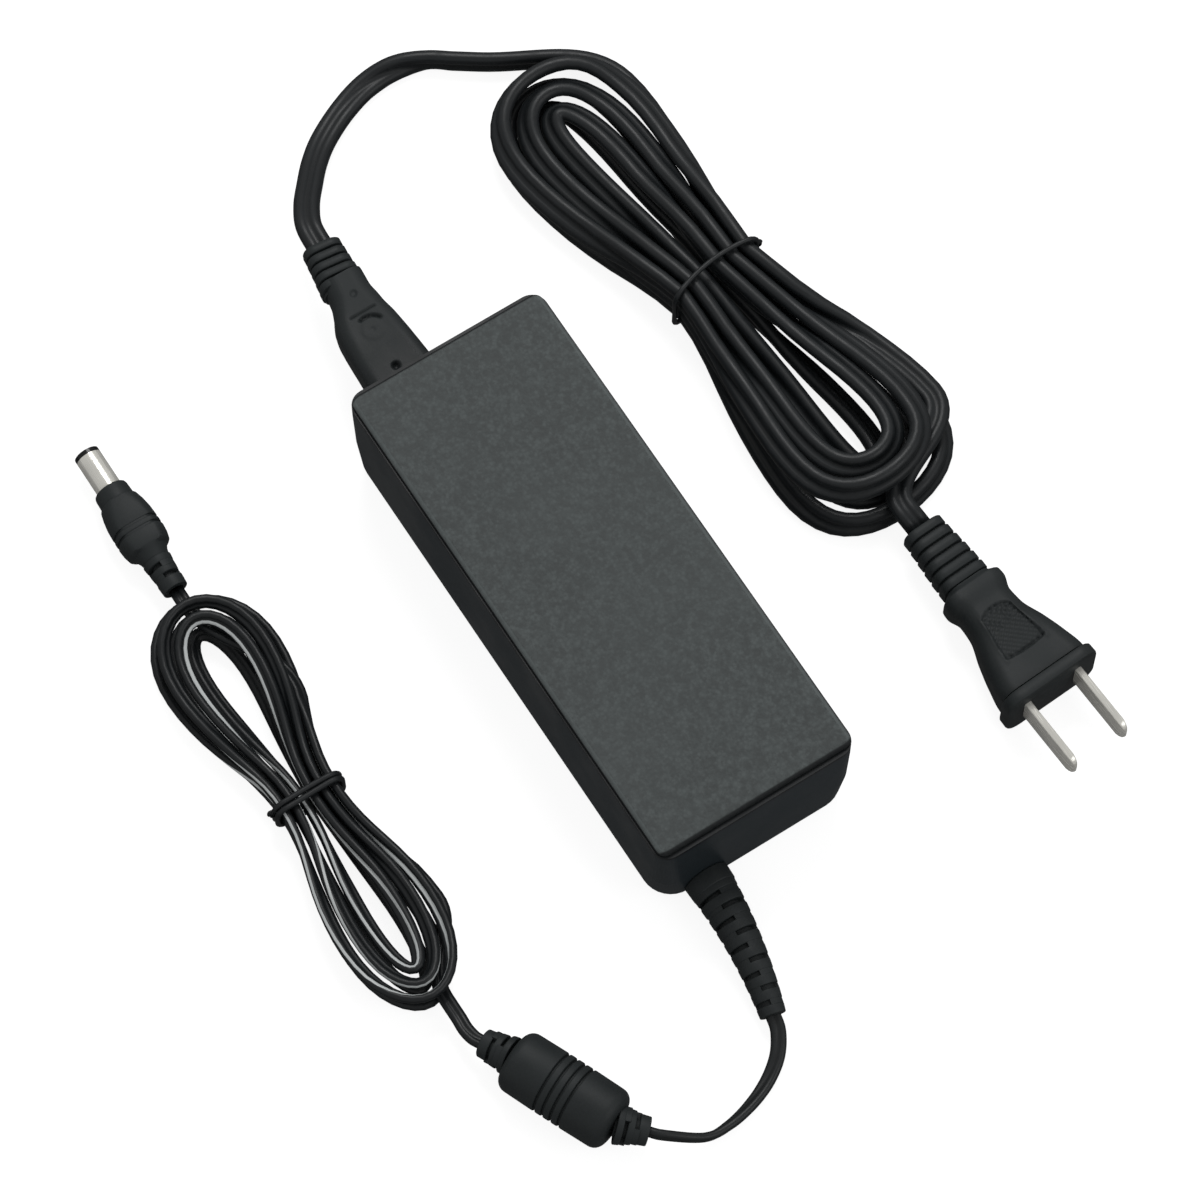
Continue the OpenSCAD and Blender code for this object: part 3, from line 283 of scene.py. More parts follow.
MATERIALS = {
    "lid_grey": lid_material(),
    # The last colour of shell_black is the painted shade under the lid.
    "shell_black": plastic("shell_black", linear(34, 41, 45), (0.36, 0.48), 1800, 0.02, 0.1, 0.3,
                           linear(8, 11, 13)),
    "plug_rubber": plastic("plug_rubber", linear(36, 40, 41), (0.5, 0.62), 1500, 0.03, 0.14, 0.3),
    "mains_cord": cord_material("mains_cord", linear(27, 30, 32), (0.4, 0.52)),
    "output_cord": cord_material("output_cord", linear(22, 25, 27), (0.38, 0.5),
                                 (linear(206, 210, 210), 0.046)),
    "output_cord_plain": cord_material("output_cord_plain", linear(26, 29, 30), (0.38, 0.5)),
    "tie_black": plastic("tie_black", linear(24, 27, 29), (0.4, 0.55), 1500, 0.02, 0.2),
    "plated_metal": metal("plated_metal", linear(242, 240, 232), (0.16, 0.3), shine=0.5),
    "insulator_black": plastic("insulator_black", linear(14, 15, 16), (0.22, 0.32), 2500, 0.01),
    "copper": metal("copper", linear(214, 140, 96), (0.25, 0.4)),
    "aluminium": metal("aluminium", linear(205, 206, 208), (0.3, 0.45)),
    "board_green": board_material(),
    "glass_fuse": plastic("glass_fuse", linear(196, 190, 176), (0.1, 0.2), 900, 0.01),
    "film_yellow": plastic("film_yellow", linear(214, 176, 50), (0.25, 0.35)),
    "component_black": plastic("component_black", linear(30, 31, 33), (0.35, 0.5)),
    "ferrite": plastic("ferrite", linear(52, 52, 56), (0.6, 0.75), 1500, 0.04),
    "tape_yellow": wound_material("tape_yellow", linear(218, 190, 84)),
    "ceramic_blue": plastic("ceramic_blue", linear(46, 96, 168), (0.2, 0.3)),
    "card": plastic("card", linear(216, 204, 168), (0.7, 0.85), 1200, 0.03),
}
MATERIALS["cord_rubber"] = MATERIALS["mains_cord"]
WINDINGS = {"common_mode_choke": wound_material("choke_wire", linear(206, 120, 70))}


def dress_cad_nodes():
    """Each CAD node gets the material of its slot in the record."""
    for part in frame["record"]["subparts"]:
        node = frame["nodes"][part["node"]]
        material = WINDINGS.get(part["node"], MATERIALS[part["material_slot"]])
        node.data.materials.clear()
        node.data.materials.append(material)


dress_cad_nodes()


# ---------- mesh helpers ----------
def piece(name, body, material, verts, faces, replaces, slot=None, angle=35, bevel=0.0):
    """A smooth-shaded mesh in millimetres that rides on a body and replaces CAD nodes."""
    mesh = bpy.data.meshes.new(name)
    mesh.from_pydata([Vector(v) * MM for v in verts], [], faces)
    mesh.validate()
    mesh.shade_smooth()
    if angle < 180:
        mesh.set_sharp_from_angle(angle=math.radians(angle))
    mesh.materials.append(MATERIALS[material])
    obj = bpy.data.objects.new(name, mesh)
    bpy.context.scene.collection.objects.link(obj)
    if bevel:
        edge = obj.modifiers.new("edges", "BEVEL")
        edge.width, edge.segments = bevel * MM, 2
        edge.limit_method, edge.angle_limit = "ANGLE", math.radians(32)
        edge.harden_normals = True
    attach(obj, body)
    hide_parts(*replaces)
    return obj


def skin(rings, ends=True):
    """Vertices and faces of a tube through rings of equal length."""
    n, sides = len(rings), len(rings[0])
    verts = [p for ring in rings for p in ring]
    faces = []
    for i in range(n - 1):
        for k in range(sides):
            a, b = i * sides + k, i * sides + (k + 1) % sides
            faces.append((a, b, b + sides, a + sides))
    if ends:
        faces.append(tuple(range(sides - 1, -1, -1)))
        faces.append(tuple((n - 1) * sides + k for k in range(sides)))
    return verts, faces


def join(*meshes):
    verts, faces = [], []
    for v, f in meshes:
        start = len(verts)
        verts += v
        faces += [tuple(i + start for i in face) for face in f]
    return verts, faces


def frame_at(place, ahead, up=Vector((0, 0, 1))):
    """A 4 x 4 matrix whose X looks ahead and whose Z is as near up as it can be."""
    x = Vector(ahead).normalized()
    y = up.cross(x).normalized()
    z = x.cross(y)
    turn = Matrix((x, y, z)).transposed().to_4x4()
    return Matrix.Translation(Vector(place)) @ turn


def moved(mesh, matrix):
    return [matrix @ Vector(v) for v in mesh[0]], mesh[1]


def ring_angles(sides):
    return [2 * math.pi * k / sides for k in range(sides)]


# The radius at which a profile closes on its axis.
AXIS_R = 0.02


def revolve(profile, sides=64):
    """A solid of revolution about X from [x, radius] points."""
    return skin([[(x, r * math.cos(a), r * math.sin(a)) for a in ring_angles(sides)]
                 for x, r in profile])


def quarter(steps, first=0):
    """The angles of a quarter turn, from its first step on."""
    return [math.pi / 2 * k / steps for k in range(first, steps + 1)]


def round_rect(w, h, r, per_corner=8):
    """Points of a rectangle with round corners, anticlockwise from +Y."""
    r = min(r, w / 2 - 1e-3, h / 2 - 1e-3)
    points = []
    for q in range(4):
        cy = (w / 2 - r) * (1, -1, -1, 1)[q]
        cz = (h / 2 - r) * (1, 1, -1, -1)[q]
        for k in range(per_corner + 1):
            a = math.pi / 2 * (q + k / per_corner)
            points.append((cy + r * math.cos(a), cz + r * math.sin(a)))
    return points


def dense(points, count=72):
    """The same outline with a fixed number of points, evenly spread."""
    total = sum(math.dist(a, b) for a, b in zip(points, points[1:] + points[:1]))
    out, run, goal = [], 0.0, 0.0
    for a, b in zip(points, points[1:] + points[:1]):
        step = math.dist(a, b)
        while goal < run + step - 1e-9 and len(out) < count:
            f = (goal - run) / step
            out.append((mix(a[0], b[0], f), mix(a[1], b[1], f)))
            goal += total / count
        run += step
    return out


def smooth(x):
    x = max(0.0, min(1.0, x))
    return x * x * (3 - 2 * x)


def mix(a, b, f):
    return a * (1 - f) + b * f


def turned(yaw, pitch=0.0):
    y, p = math.radians(yaw), math.radians(pitch)
    return Vector((math.cos(y) * math.cos(p), math.sin(y) * math.cos(p), -math.sin(p)))


# ---------- cords ----------
# Width, thickness and depth of the groove between the two cores.
AC_W, AC_T, AC_GROOVE = 5.6, 3.0, 0.66
DC_W, DC_T, DC_GROOVE = 3.2, 1.8, 0.33


def twin_section(w, t, groove, sides=28):
    """A flat two-core cord: two round cores side by side with a V groove between them."""
    points = []
    for a in ring_angles(sides):
        x = w / 2 * math.cos(a)
        core = math.sqrt(max(0.0, (t / 2) ** 2 - (abs(x) - (w - t) / 2) ** 2))
        y = core if abs(x) > (w - t) / 2 else max(core, t / 2 - groove)
        points.append((x, y if math.sin(a) > 0 else -y))
    return points


def sweep(route, section):
    """Rings of a cord along a route of [x, y, z, roll]: at roll 0 it lies on its broad side. None
    of them dips below the floor."""
    rings = []
    last = len(route) - 1
    wide, thick = max(x for x, y in section), max(y for x, y in section)
    for i, p in enumerate(route):
        before, after = route[max(i - 1, 0)], route[min(i + 1, last)]
        ahead = (Vector(after[:3]) - Vector(before[:3])).normalized()
        side = Vector((0, 0, 1)).cross(ahead).normalized()
        above = ahead.cross(side)
        roll = math.radians(p[3])
        broad = math.cos(roll) * side + math.sin(roll) * above
        thin = -math.sin(roll) * side + math.cos(roll) * above
        lowest = (wide - thick) * abs(math.sin(roll)) + thick
        centre = Vector((p[0], p[1], max(p[2], lowest)))
        rings.append([centre + broad * x + thin * y for x, y in section])
    return rings


def through(points, step=1.0):
    """A smooth line through points of x, y, z and roll, with points about step mm apart."""
    out = []
    n = len(points)
    for i in range(n - 1):
        a, b = points[max(i - 1, 0)], points[i]
        c, d = points[i + 1], points[min(i + 2, n - 1)]
        pieces = max(1, round((Vector(c[:3]) - Vector(b[:3])).length / step))
        for k in range(pieces):
            t = k / pieces
            out.append([0.5 * (2 * b[j] + (c[j] - a[j]) * t
                               + (2 * a[j] - 5 * b[j] + 4 * c[j] - d[j]) * t * t
                               + (3 * b[j] - a[j] - 3 * c[j] + d[j]) * t ** 3)
                        for j in range(4)])
    return out + [list(points[-1])]


@dataclass
class Hank:
    """The winding of part.scad: u along the hank, v across it, the tie at u = 0. It winds in on a
    lower layer, climbs and winds out on an upper one. Angles are in degrees along the winding."""

    at: tuple            # the tie's place in x and y
    turn: float          # the direction of u
    side: int            # 1 where v is to the left of u, -1 where it is to the right
    w: float             # the cord's width and thickness
    t: float
    gap: float           # between the two layers
    fold_u: float        # the outermost fold, and how much nearer each turn's fold is
    fold_step: float
    blunt: float         # how blunt the folds are
    waist_v: float       # half the width at the tie, and the steps there
    waist_step: float
    lobe_start: float    # how far the lobes swell out at the two ends, and the steps there
    lobe_end: float
    lobe_step: float
    lobe_step_up: float
    power: float         # how late a lobe swells
    stagger_u: float     # how much smaller the upper layer is
    stagger_v: float
    lean: float          # how far the cord leans over in a lobe, and the share lost at a fold
    lean_fold: float
    tie_lift: float      # the rise at the tie and of the upper layer towards the two ends
    lift_start: float
    lift_end: float
    start: tuple         # the first and last points (u, v, z, roll), their directions and angles
    start_way: float
    start_angle: float
    end: tuple
    end_way: float
    end_angle: float

    CLIMB_FROM, CLIMB_TO, TUCK = 900, 1080, 0.25
    FIRST_QUARTER, LAST_QUARTER = 90, 1890

    def turns_in(self, a):
        if a < self.CLIMB_FROM:
            return a / 360
        if a < self.CLIMB_TO:
            return self.CLIMB_FROM / 360 + self.TUCK * math.sin(math.radians(a - self.CLIMB_FROM))
        return (self.CLIMB_FROM + self.CLIMB_TO - a) / 360

    def layer(self, a):
        return smooth((a - self.CLIMB_FROM) / (self.CLIMB_TO - self.CLIMB_FROM))

    def u(self, a):
        r = math.radians(a)
        half = self.fold_u - self.fold_step * self.turns_in(a) - self.stagger_u * self.layer(a)
        return -half * (math.cos(r) - self.blunt * math.cos(3 * r)) / (1 - self.blunt)

    def v(self, a):
        j, r = self.turns_in(a), math.radians(a)
        swell = (mix(self.lobe_start, self.lobe_end, (1 - math.cos(r)) / 2)
                 - mix(self.lobe_step, self.lobe_step_up, self.layer(a)) * j
                 - self.stagger_v * self.layer(a))
        return math.sin(r) * (self.waist_v - self.waist_step * j
                              + swell * abs(math.cos(r)) ** self.power)

    def roll(self, x):
        """The cord stands on edge at the tie and leans over towards the folds."""
        return 90 + (self.lean * smooth((abs(x) - 0.1) / 0.38)
                     * (1 - self.lean_fold * smooth((abs(x) - 0.72) / 0.28)))

    def point(self, a):
        u, v = self.u(a), self.v(a)
        x, up = u / self.fold_u, self.layer(a)
        roll = self.roll(x)
        half = math.hypot(self.w / 2 * math.sin(math.radians(roll)),
                          self.t / 2 * math.cos(math.radians(roll)))
        rise = [smooth((s * x - 0.15) / 0.35) for s in (-1, 1)]
        bump = self.tie_lift * (1 - smooth((abs(x) - 0.04) / 0.3))
        plain = half + up * (2 * half + self.gap)
        f, end = 0, None
        if a < self.FIRST_QUARTER:
            f, end = rise[0], self.start
        elif a > self.LAST_QUARTER:
            f, end = rise[1], self.end
        if f > 0:
            return [u, v, mix(plain, end[2], f) + bump, mix(roll, end[3], f)]
        lift = up * (self.lift_start * rise[0] + self.lift_end * rise[1])
        return [u, v, plain + lift + bump, roll]

    def heading(self, a):
        return Vector((self.u(a + 1) - self.u(a - 1), self.v(a + 1) - self.v(a - 1))).normalized()

    @staticmethod
    def lead(p, p_way, q, q_way, steps):
        """A smooth stretch from p to q that leaves and arrives in the two given directions."""
        a0, b0 = Vector(p[:2]), Vector(q[:2])
        reach = (b0 - a0).length * 0.38
        a1, b1 = a0 + p_way * reach, b0 - q_way * reach
        out = []
        for k in range(1, steps):
            f = k / steps
            s = (a0 * (1 - f) ** 3 + 3 * a1 * f * (1 - f) ** 2
                 + 3 * b1 * f * f * (1 - f) + b0 * f ** 3)
            out.append([s.x, s.y, mix(p[2], q[2], smooth(f)), mix(p[3], q[3], smooth(f))])
        return out

    def placed(self, p):
        """A point of the hank in the row frame."""
        c, s = math.cos(math.radians(self.turn)), math.sin(math.radians(self.turn))
        return [self.at[0] + p[0] * c - self.side * p[1] * s,
                self.at[1] + p[0] * s + self.side * p[1] * c, p[2], p[3]]

    def route(self, step=5):
        """The whole cord: straight out of its start, round and round, and straight to its end."""
        s_way, e_way = turned(self.start_way).xy, turned(self.end_way).xy
        s_in = [self.start[0] + s_way.x * self.w, self.start[1] + s_way.y * self.w,
                self.start[2], self.start[3]]
        e_in = [self.end[0] - e_way.x * self.w, self.end[1] - e_way.y * self.w,
                self.end[2], self.end[3]]
        on, off = self.point(self.start_angle), self.point(self.end_angle)
        turns = [self.point(self.start_angle + k * step) for k in
                 range(int((self.end_angle - self.start_angle) / step) + 1)]
        local = ([list(self.start), s_in]
                 + self.lead(s_in, s_way, on, self.heading(self.start_angle), 16)
                 + turns + self.lead(off, self.heading(self.end_angle), e_in, e_way, 20)
                 + [e_in, list(self.end)])
        return [self.placed(p) for p in local]


AC_HANK = Hank(
    at=(-49.1, 59.3), turn=7, side=1, w=AC_W, t=AC_T, gap=0.6,
    fold_u=64.6, fold_step=4.8, blunt=0.04, waist_v=10.35, waist_step=3.45,
    lobe_start=25, lobe_end=30, lobe_step=9.3, lobe_step_up=6.2, power=1.3,
    stagger_u=1.5, stagger_v=3, lean=54, lean_fold=0.7,
    tie_lift=1.6, lift_start=0, lift_end=4.4,
    start=(-76.5, -7.5, AC_W / 2, 90), start_way=48, start_angle=45,
    end=(70, -2.9, 7.55, 0), end_way=-3.7, end_angle=1935)
DC_HANK = Hank(
    at=(2.2, -71), turn=179, side=-1, w=DC_W, t=DC_T, gap=0.5,
    fold_u=52, fold_step=3.4, blunt=-0.08, waist_v=6.8, waist_step=2.3,
    lobe_start=20, lobe_end=26, lobe_step=6.4, lobe_step_up=4.6, power=2,
    stagger_u=1, stagger_v=1.6, lean=54, lean_fold=0.7,
    tie_lift=1.4, lift_start=3.3, lift_end=3.8,
    start=(-53.3, 2.5, 4.7, 0), start_way=-1, start_angle=45,
    end=(53, 0.5, 5.3, 0), end_way=-1, end_angle=1920)


def cord_piece(name, body, material, route, section, replaces):
    """A cord's mesh with a UV map of the way round and the distance along."""
    rings = sweep(route, section)
    verts, faces = skin(rings)
    obj = piece(name, body, material, verts, faces, replaces, "cord_rubber", 180)
    mesh = obj.data
    along, total = [0.0], 0.0
    for a, b in zip(route, route[1:]):
        total += (Vector(b[:3]) - Vector(a[:3])).length * MM
        along.append(total)
    sides = len(section)
    layer = mesh.uv_layers.new(name="along")
    for face in mesh.polygons:
        ks = [v % sides for v in face.vertices]
        wraps = max(ks) - min(ks) > sides / 2
        for loop, v in zip(face.loop_indices, face.vertices):
            k = v % sides
            layer.data[loop].uv = ((k + sides if wraps and k == 0 else k) / sides,
                                   along[v // sides])
    return obj, total, [tuple(c * MM for c in p[:3]) for p in route]


# Where the free stretches start and end, as part.scad works them out.
BRICK_END, INLET_Y, INLET_Z = 59.0, -8.0, 15.0
NECK_AT, NECK_L = Vector((-80, INLET_Y, INLET_Z)), 17.2
neck_dir = turned(180 - 6, 4)
neck_end = NECK_AT + neck_dir * NECK_L
BOOT_L, BOOT_Y, BOOT_Z, BOOT_YAW, BOOT_DROP = 31.0, -12.5, 5.6, -15.0, 2.6


def boot_at(f):
    return Vector((BRICK_END + BOOT_L * f,
                   BOOT_Y + BOOT_L * f * f * math.tan(math.radians(BOOT_YAW / 2)),
                   BOOT_Z - BOOT_DROP * f * f))


def boot_dir(f):
    return turned(BOOT_YAW * f, 2 * math.degrees(math.atan(BOOT_DROP / BOOT_L)) * f)


CHOKE_AT, CHOKE_YAW, CHOKE_L, CHOKE_R = Vector((81.6, -60.3, 6.85)), 23.5, 24.5, 6.7
CHOKE_BOOT_L = 6.6
choke_in_dir, choke_out_dir = turned(46, 8), turned(208, 8)
choke_in = CHOKE_AT + turned(CHOKE_YAW) * CHOKE_L / 2 + choke_in_dir * CHOKE_BOOT_L
choke_out = CHOKE_AT - turned(CHOKE_YAW) * CHOKE_L / 2 + choke_out_dir * CHOKE_BOOT_L


def rolled(p, roll):
    """A point of a cord's route."""
    return [p.x, p.y, p.z, roll]


# How far the cords reach into their boots.
HELD = 1.0
ac_start = AC_HANK.placed(AC_HANK.start)
ac_start_dir = turned(AC_HANK.start_way + AC_HANK.turn)
AC_ROUTE = [
    rolled(neck_end - neck_dir * HELD, 0), rolled(neck_end, 0),
    rolled(neck_end + neck_dir * AC_W, 0), [-108, -3, 11, 0], [-113, 0.6, 8, 0],
    [-118.5, 5, 4.6, 0], [-123, 10, 2.6, 0], [-127, 17, 1.7, 0], [-129.3, 24, 1.8, 15],
    [-129.4, 31, 2.6, 45],
    rolled(Vector(ac_start[:3]) - ac_start_dir * AC_W, 90), ac_start]
DC_ROUTE = [
    rolled(boot_at(1) - boot_dir(1) * HELD, 0), rolled(boot_at(1), 0),
    rolled(boot_at(1) + boot_dir(1) * DC_W, 0), [97, -20.2, 1.8, 10], [100.2, -24.6, 1.3, 25],
    [102.5, -30, 1.4, 45], [103.8, -36, 1.8, 65], [103.6, -41.5, 2.9, 80],
    rolled(choke_in + choke_in_dir * DC_W, 90), rolled(choke_in, 90),
    rolled(choke_in - choke_in_dir * HELD, 90)]
dc_start = DC_HANK.placed(DC_HANK.start)
DC_ROUTE_TO_HANK = [
    rolled(choke_out - choke_out_dir * HELD, 20), rolled(choke_out, 20),
    rolled(choke_out + choke_out_dir * 2, 10), [60.2, -69.6, 5.2, 0],
    [dc_start[0] + 2, dc_start[1], dc_start[2], 0], dc_start]

ac_cord, ac_length, ac_path = cord_piece(
    "mains_cord", CORD_SET, "mains_cord", through(AC_ROUTE)[:-1] + AC_HANK.route(),
    twin_section(AC_W, AC_T, AC_GROOVE), ("ac_cord", "ac_hank"))
dc_cord_a, dc_a_length, dc_a_path = cord_piece(
    "output_cord_to_choke", ADAPTER, "output_cord_plain", through(DC_ROUTE, 0.8),
    twin_section(DC_W, DC_T, DC_GROOVE), ("dc_cord",))
dc_cord_b, dc_b_length, dc_b_path = cord_piece(
    "output_cord_to_plug", ADAPTER, "output_cord",
    through(DC_ROUTE_TO_HANK, 0.8)[:-1] + DC_HANK.route(),
    twin_section(DC_W, DC_T, DC_GROOVE), ("dc_cord_to_hank", "dc_hank"))


# ---------- ringed boots ----------
def ring_band(length, r0, r1, edge=0.22):
    """A short band with rounded edges about X."""
    profile = [(0, AXIS_R), (0, r0 - edge)]
    profile += [(edge - edge * math.cos(a), r0 - edge + edge * math.sin(a))
                for a in quarter(4, 1)]
    profile += [(length - edge + edge * math.sin(a), r1 - edge + edge * math.cos(a))
                for a in quarter(4)]
    return revolve(profile + [(length, AXIS_R)], 40)


def sector(x0, x1, r, a0, a1, n=6):
    """A bar with the section of a slice of cake, between two angles in degrees."""
    rim = [math.radians(mix(a0, a1, k / n)) for k in range(n + 1)]
    outline = [(0, 0)] + [(r * math.cos(a), r * math.sin(a)) for a in rim]
    return skin([[(x, y, z) for y, z in outline] for x in (x0, x1)])


# The bars that bridge a slot: their angle, the middle of the first one and their radius as a share
# of the band's diameter.
BAR_ANGLE, BAR_MIDDLE, BAR_R = 72, 54, 0.47


def boot(at, direction, length, diameters, slot_w, core, first, collar=None, pitch=None):
    """A tapered boot: bands on a thinner core, with windows between them that change sides.
    at and direction are functions of the share of the length. The collar is a length and a
    diameter, the core a share of the bands' diameters."""
    n = len(diameters)
    pitch = pitch or (1 - first) / n
    rings = []
    for f in (i / 40 for i in range(41)):
        r = mix(diameters[0], diameters[-1], f) * core / 2
        m = frame_at(at(f), direction(f))
        rings.append([m @ Vector((0, r * math.cos(a), r * math.sin(a))) for a in ring_angles(28)])
    parts = [skin(rings)]
    for i, d in enumerate(diameters):
        f = first + i * pitch
        m = frame_at(at(f), direction(f))
        band = (1 - f) * length if i == n - 1 else pitch * length - slot_w
        parts.append(moved(ring_band(band, d / 2, d / 2 - 0.12), m))
        if i == n - 1:
            break
        for q in (0, 180):
            a = q + (90 if i % 2 else 0) + BAR_MIDDLE
            bar = sector(0.3, pitch * length + 0.3, BAR_R * d, a - BAR_ANGLE / 2, a + BAR_ANGLE / 2)
            parts.append(moved(bar, m))
    if collar:
        m = frame_at(at(0), direction(0))
        parts.append(moved(ring_band(collar[0], collar[1] / 2, collar[1] / 2 - 0.1, 0.3), m))
    return join(*parts)


BOOT_RINGS, BOOT_D, BOOT_END_D = 10, 9.8, 5.4
# In pitches: the collar before the first ring and the whole boot.
BOOT_FIRST, BOOT_PITCHES = 0.95, 10.6
boot_d = [mix(BOOT_D, BOOT_END_D, (i + BOOT_FIRST) / BOOT_PITCHES) for i in range(BOOT_RINGS)]
dc_boot = piece("output_strain_relief", ADAPTER, "plug_rubber",
                *boot(boot_at, boot_dir, BOOT_L, boot_d, 0.85, 0.7, BOOT_FIRST / BOOT_PITCHES,
                      (3.6, BOOT_D), 1 / BOOT_PITCHES),
                ("dc_strain_relief",), bevel=0.08)


# ---------- choke ----------
def choke_profile():
    """A barrel with round ends and four narrow grooves between faint ridges round its middle."""
    grooves, groove_pitch = 4, 1.9
    half_groove = [(0.6, 0.1), (0.38, 0.08), (0.26, -0.1), (0.22, -0.6)]
    groove = [(-dx, dr) for dx, dr in half_groove] + half_groove[::-1]
    half, r, edge = CHOKE_L / 2, CHOKE_R - 0.1, 2.4
    out = [(-half, AXIS_R), (-half, r - edge)]
    out += [(-half + edge - edge * math.cos(a), r - edge + edge * math.sin(a))
            for a in quarter(7, 1)]
    for k in range(grooves):
        x = (k - (grooves - 1) / 2) * groove_pitch
        out += [(x + dx, r + dr) for dx, dr in groove]
    out += [(half - edge + edge * math.sin(a), r - edge + edge * math.cos(a))
            for a in quarter(7)]
    return out + [(half, AXIS_R)]


def small_boot(start, direction, length, diameters, slot_w, core=0.62):
    """A straight boot of a few bands."""
    return boot(lambda f: start + direction * length * f, lambda f: direction, length, diameters,
                slot_w, core, 0.06)


def choke_boot(end, direction):
    """One of the choke's boots, sunk a little into the housing."""
    length = CHOKE_BOOT_L + 0.4
    return small_boot(end - direction * length, direction, length, [8.2, 7.2, 6.2], 0.8)


choke = piece(
    "choke_moulding", ADAPTER, "plug_rubber",
    *join(moved(revolve(choke_profile(), 72), frame_at(CHOKE_AT, turned(CHOKE_YAW))),
          choke_boot(choke_in, choke_in_dir), choke_boot(choke_out, choke_out_dir)),
    ("choke_housing",), bevel=0.06)


# ---------- output plug ----------
# The plug's boot starts where the hank's cord ends. A hair keeps the handle's front face just
# behind that of the sleeve's root, which is flush with it.
HAIR = 0.0002
DC_PLUG_AT = Vector(DC_HANK.placed(DC_HANK.end)[:3]) + Vector((HAIR, 0, 0))
DC_BOOT_L, DC_HANDLE_L = 7.6, 18.6


def handle_profile():
    """The handle from its cord end back to its front: a round shoulder, two grooves, a long taper
    and a small lip."""
    points = [
        (0, AXIS_R), (0, 2.9), (1.2, 3.25), (2.3, 3.8), (2.7, 4.5), (3.0, 4.8), (4.4, 5.15),
        (6.1, 5.28), (6.35, 5.15), (6.4, 4.8), (6.9, 4.8), (6.95, 5.15), (7.1, 5.25),
        (7.8, 5.25), (7.95, 5.12), (8.0, 4.8), (8.5, 4.8), (8.55, 5.1), (8.7, 5.22),
        (11, 5.1), (13.2, 4.75), (14.9, 4.3), (15.2, 4.1), (15.3, 3.85), (15.6, 3.82),
        (17.9, 3.72), (18.4, 3.6), (DC_HANDLE_L, 3.36), (DC_HANDLE_L, AXIS_R)]
    return [(-x, r) for x, r in reversed(points)]


def flattened(mesh):
    """The mesh with its top and bottom pressed towards flat faces: past flat_z, most of the
    height is taken away."""
    flat_z, pressed = 3.816, 0.72
    out = []
    for x, y, z in mesh[0]:
        over = max(0.0, abs(z) - flat_z)
        out.append((x, y, math.copysign(abs(z) - over * pressed, z)))
    return out, mesh[1]


def output_plug_mesh():
    """The handle and the boot that is sunk a little into it."""
    ahead, sunk = Vector((1, 0, 0)), 0.5
    start = DC_PLUG_AT - ahead * DC_BOOT_L
    handle = moved(flattened(revolve(handle_profile())), Matrix.Translation(start))
    return join(handle, small_boot(start - ahead * sunk, ahead, DC_BOOT_L + sunk,
                                   [6.4, 5.9, 5.7], 1.0, 0.6))


dc_plug = piece("output_plug_handle", ADAPTER, "plug_rubber", *output_plug_mesh(),
                ("dc_plug_handle",), bevel=0.05)


# ---------- mains connector and plug ----------
def sculpt(sections, matrix, spacing, height):
    """A body lofted along X through [x, y centre, width, height, corner] sections, whose upper
    side is moved by a height function of x and y."""
    def slope(i, k):
        if i in (0, len(sections) - 1):
            return 0.0
        a, b, c = sections[i - 1:i + 2]
        before, after = (b[k] - a[k]) / (b[0] - a[0]), (c[k] - b[k]) / (c[0] - b[0])
        return 2 * before * after / (before + after) if before * after > 0 else 0.0

    def at(x):
        i = max(j for j in range(len(sections) - 1) if j == 0 or x >= sections[j][0])
        a, b = sections[i], sections[i + 1]
        l = b[0] - a[0]
        f = (x - a[0]) / l
        return [x] + [(1 + 2 * f) * (1 - f) ** 2 * a[k] + f * (1 - f) ** 2 * l * slope(i, k)
                      + f * f * (3 - 2 * f) * b[k] - f * f * (1 - f) * l * slope(i + 1, k)
                      for k in (1, 2, 3, 4)]
    rings = []
    length = sections[-1][0]
    n = round(length / spacing)
    for i in range(n + 1):
        x = length * i / n
        _, y0, w, h, r = at(x)
        ring = []
        for y, z in dense(round_rect(w, h, r), 168):
            if z > 0:
                z += height(x, y) * smooth(z / (h / 2) * 1.6 - 0.6)
            ring.append(matrix @ Vector((x, y0 + y, z)))
        rings.append(ring)
    return skin(rings)


def bump_disc(x, y, cx, cy, r, soft, h):
    """A round bump of height h with a soft edge."""
    return h * (1 - smooth((math.hypot(x - cx, y - cy) - r) / soft + 0.5))


def connector_height(x, y):
    """The marks that the mould leaves on the connector: a step line, a thumb disc with a short
    crescent on its cord side, a dimple and a small notch at the front."""
    def within(value, low, high, soft):
        return smooth((value - low) / soft + 0.5) * (1 - smooth((value - high) / soft + 0.5))
    disc_x, disc_y = 13.6, -0.1
    h = (bump_disc(x, y, disc_x, disc_y, 2.3, 1.2, 0.1)
         - bump_disc(x, y, disc_x, disc_y, 0.5, 0.8, 0.12))
    h -= 0.34 * within(x, 18.0, 18.4, 0.35) * within(y, -3.5, 2.7, 0.5)
    ring = math.hypot(x - disc_x, y - disc_y)
    turn = math.degrees(math.atan2(y - disc_y, x - disc_x))
    h -= 0.75 * within(ring, 3.0, 3.6, 0.45) * within(turn, -62, 24, 16)
    h -= bump_disc(x, y, 22.9, -0.2, 0.7, 0.6, 0.3)
    h -= bump_disc(x, y, 4.2, 0.3, 0.7, 0.9, 1.1)
    return h


CONNECTOR_FACE = -BRICK_END - 0.3
# [distance behind the face, y centre, width, height, corner radius]; y here runs to -Y.
CONNECTOR = [
    [0, 0.05, 14.7, 9.0, 2.0], [0.5, 0.05, 15.1, 9.2, 2.3], [8, 0.1, 14.5, 9.2, 2.6],
    [15.6, 0.2, 13.5, 9.0, 3.0], [18.5, 0.1, 12.4, 8.8, 3.2], [21.5, -0.5, 10.7, 8.3, 3.3],
    [24.5, -0.9, 9.4, 7.8, 3.3], [28.5, -1.3, 9.2, 7.4, 3.3]]


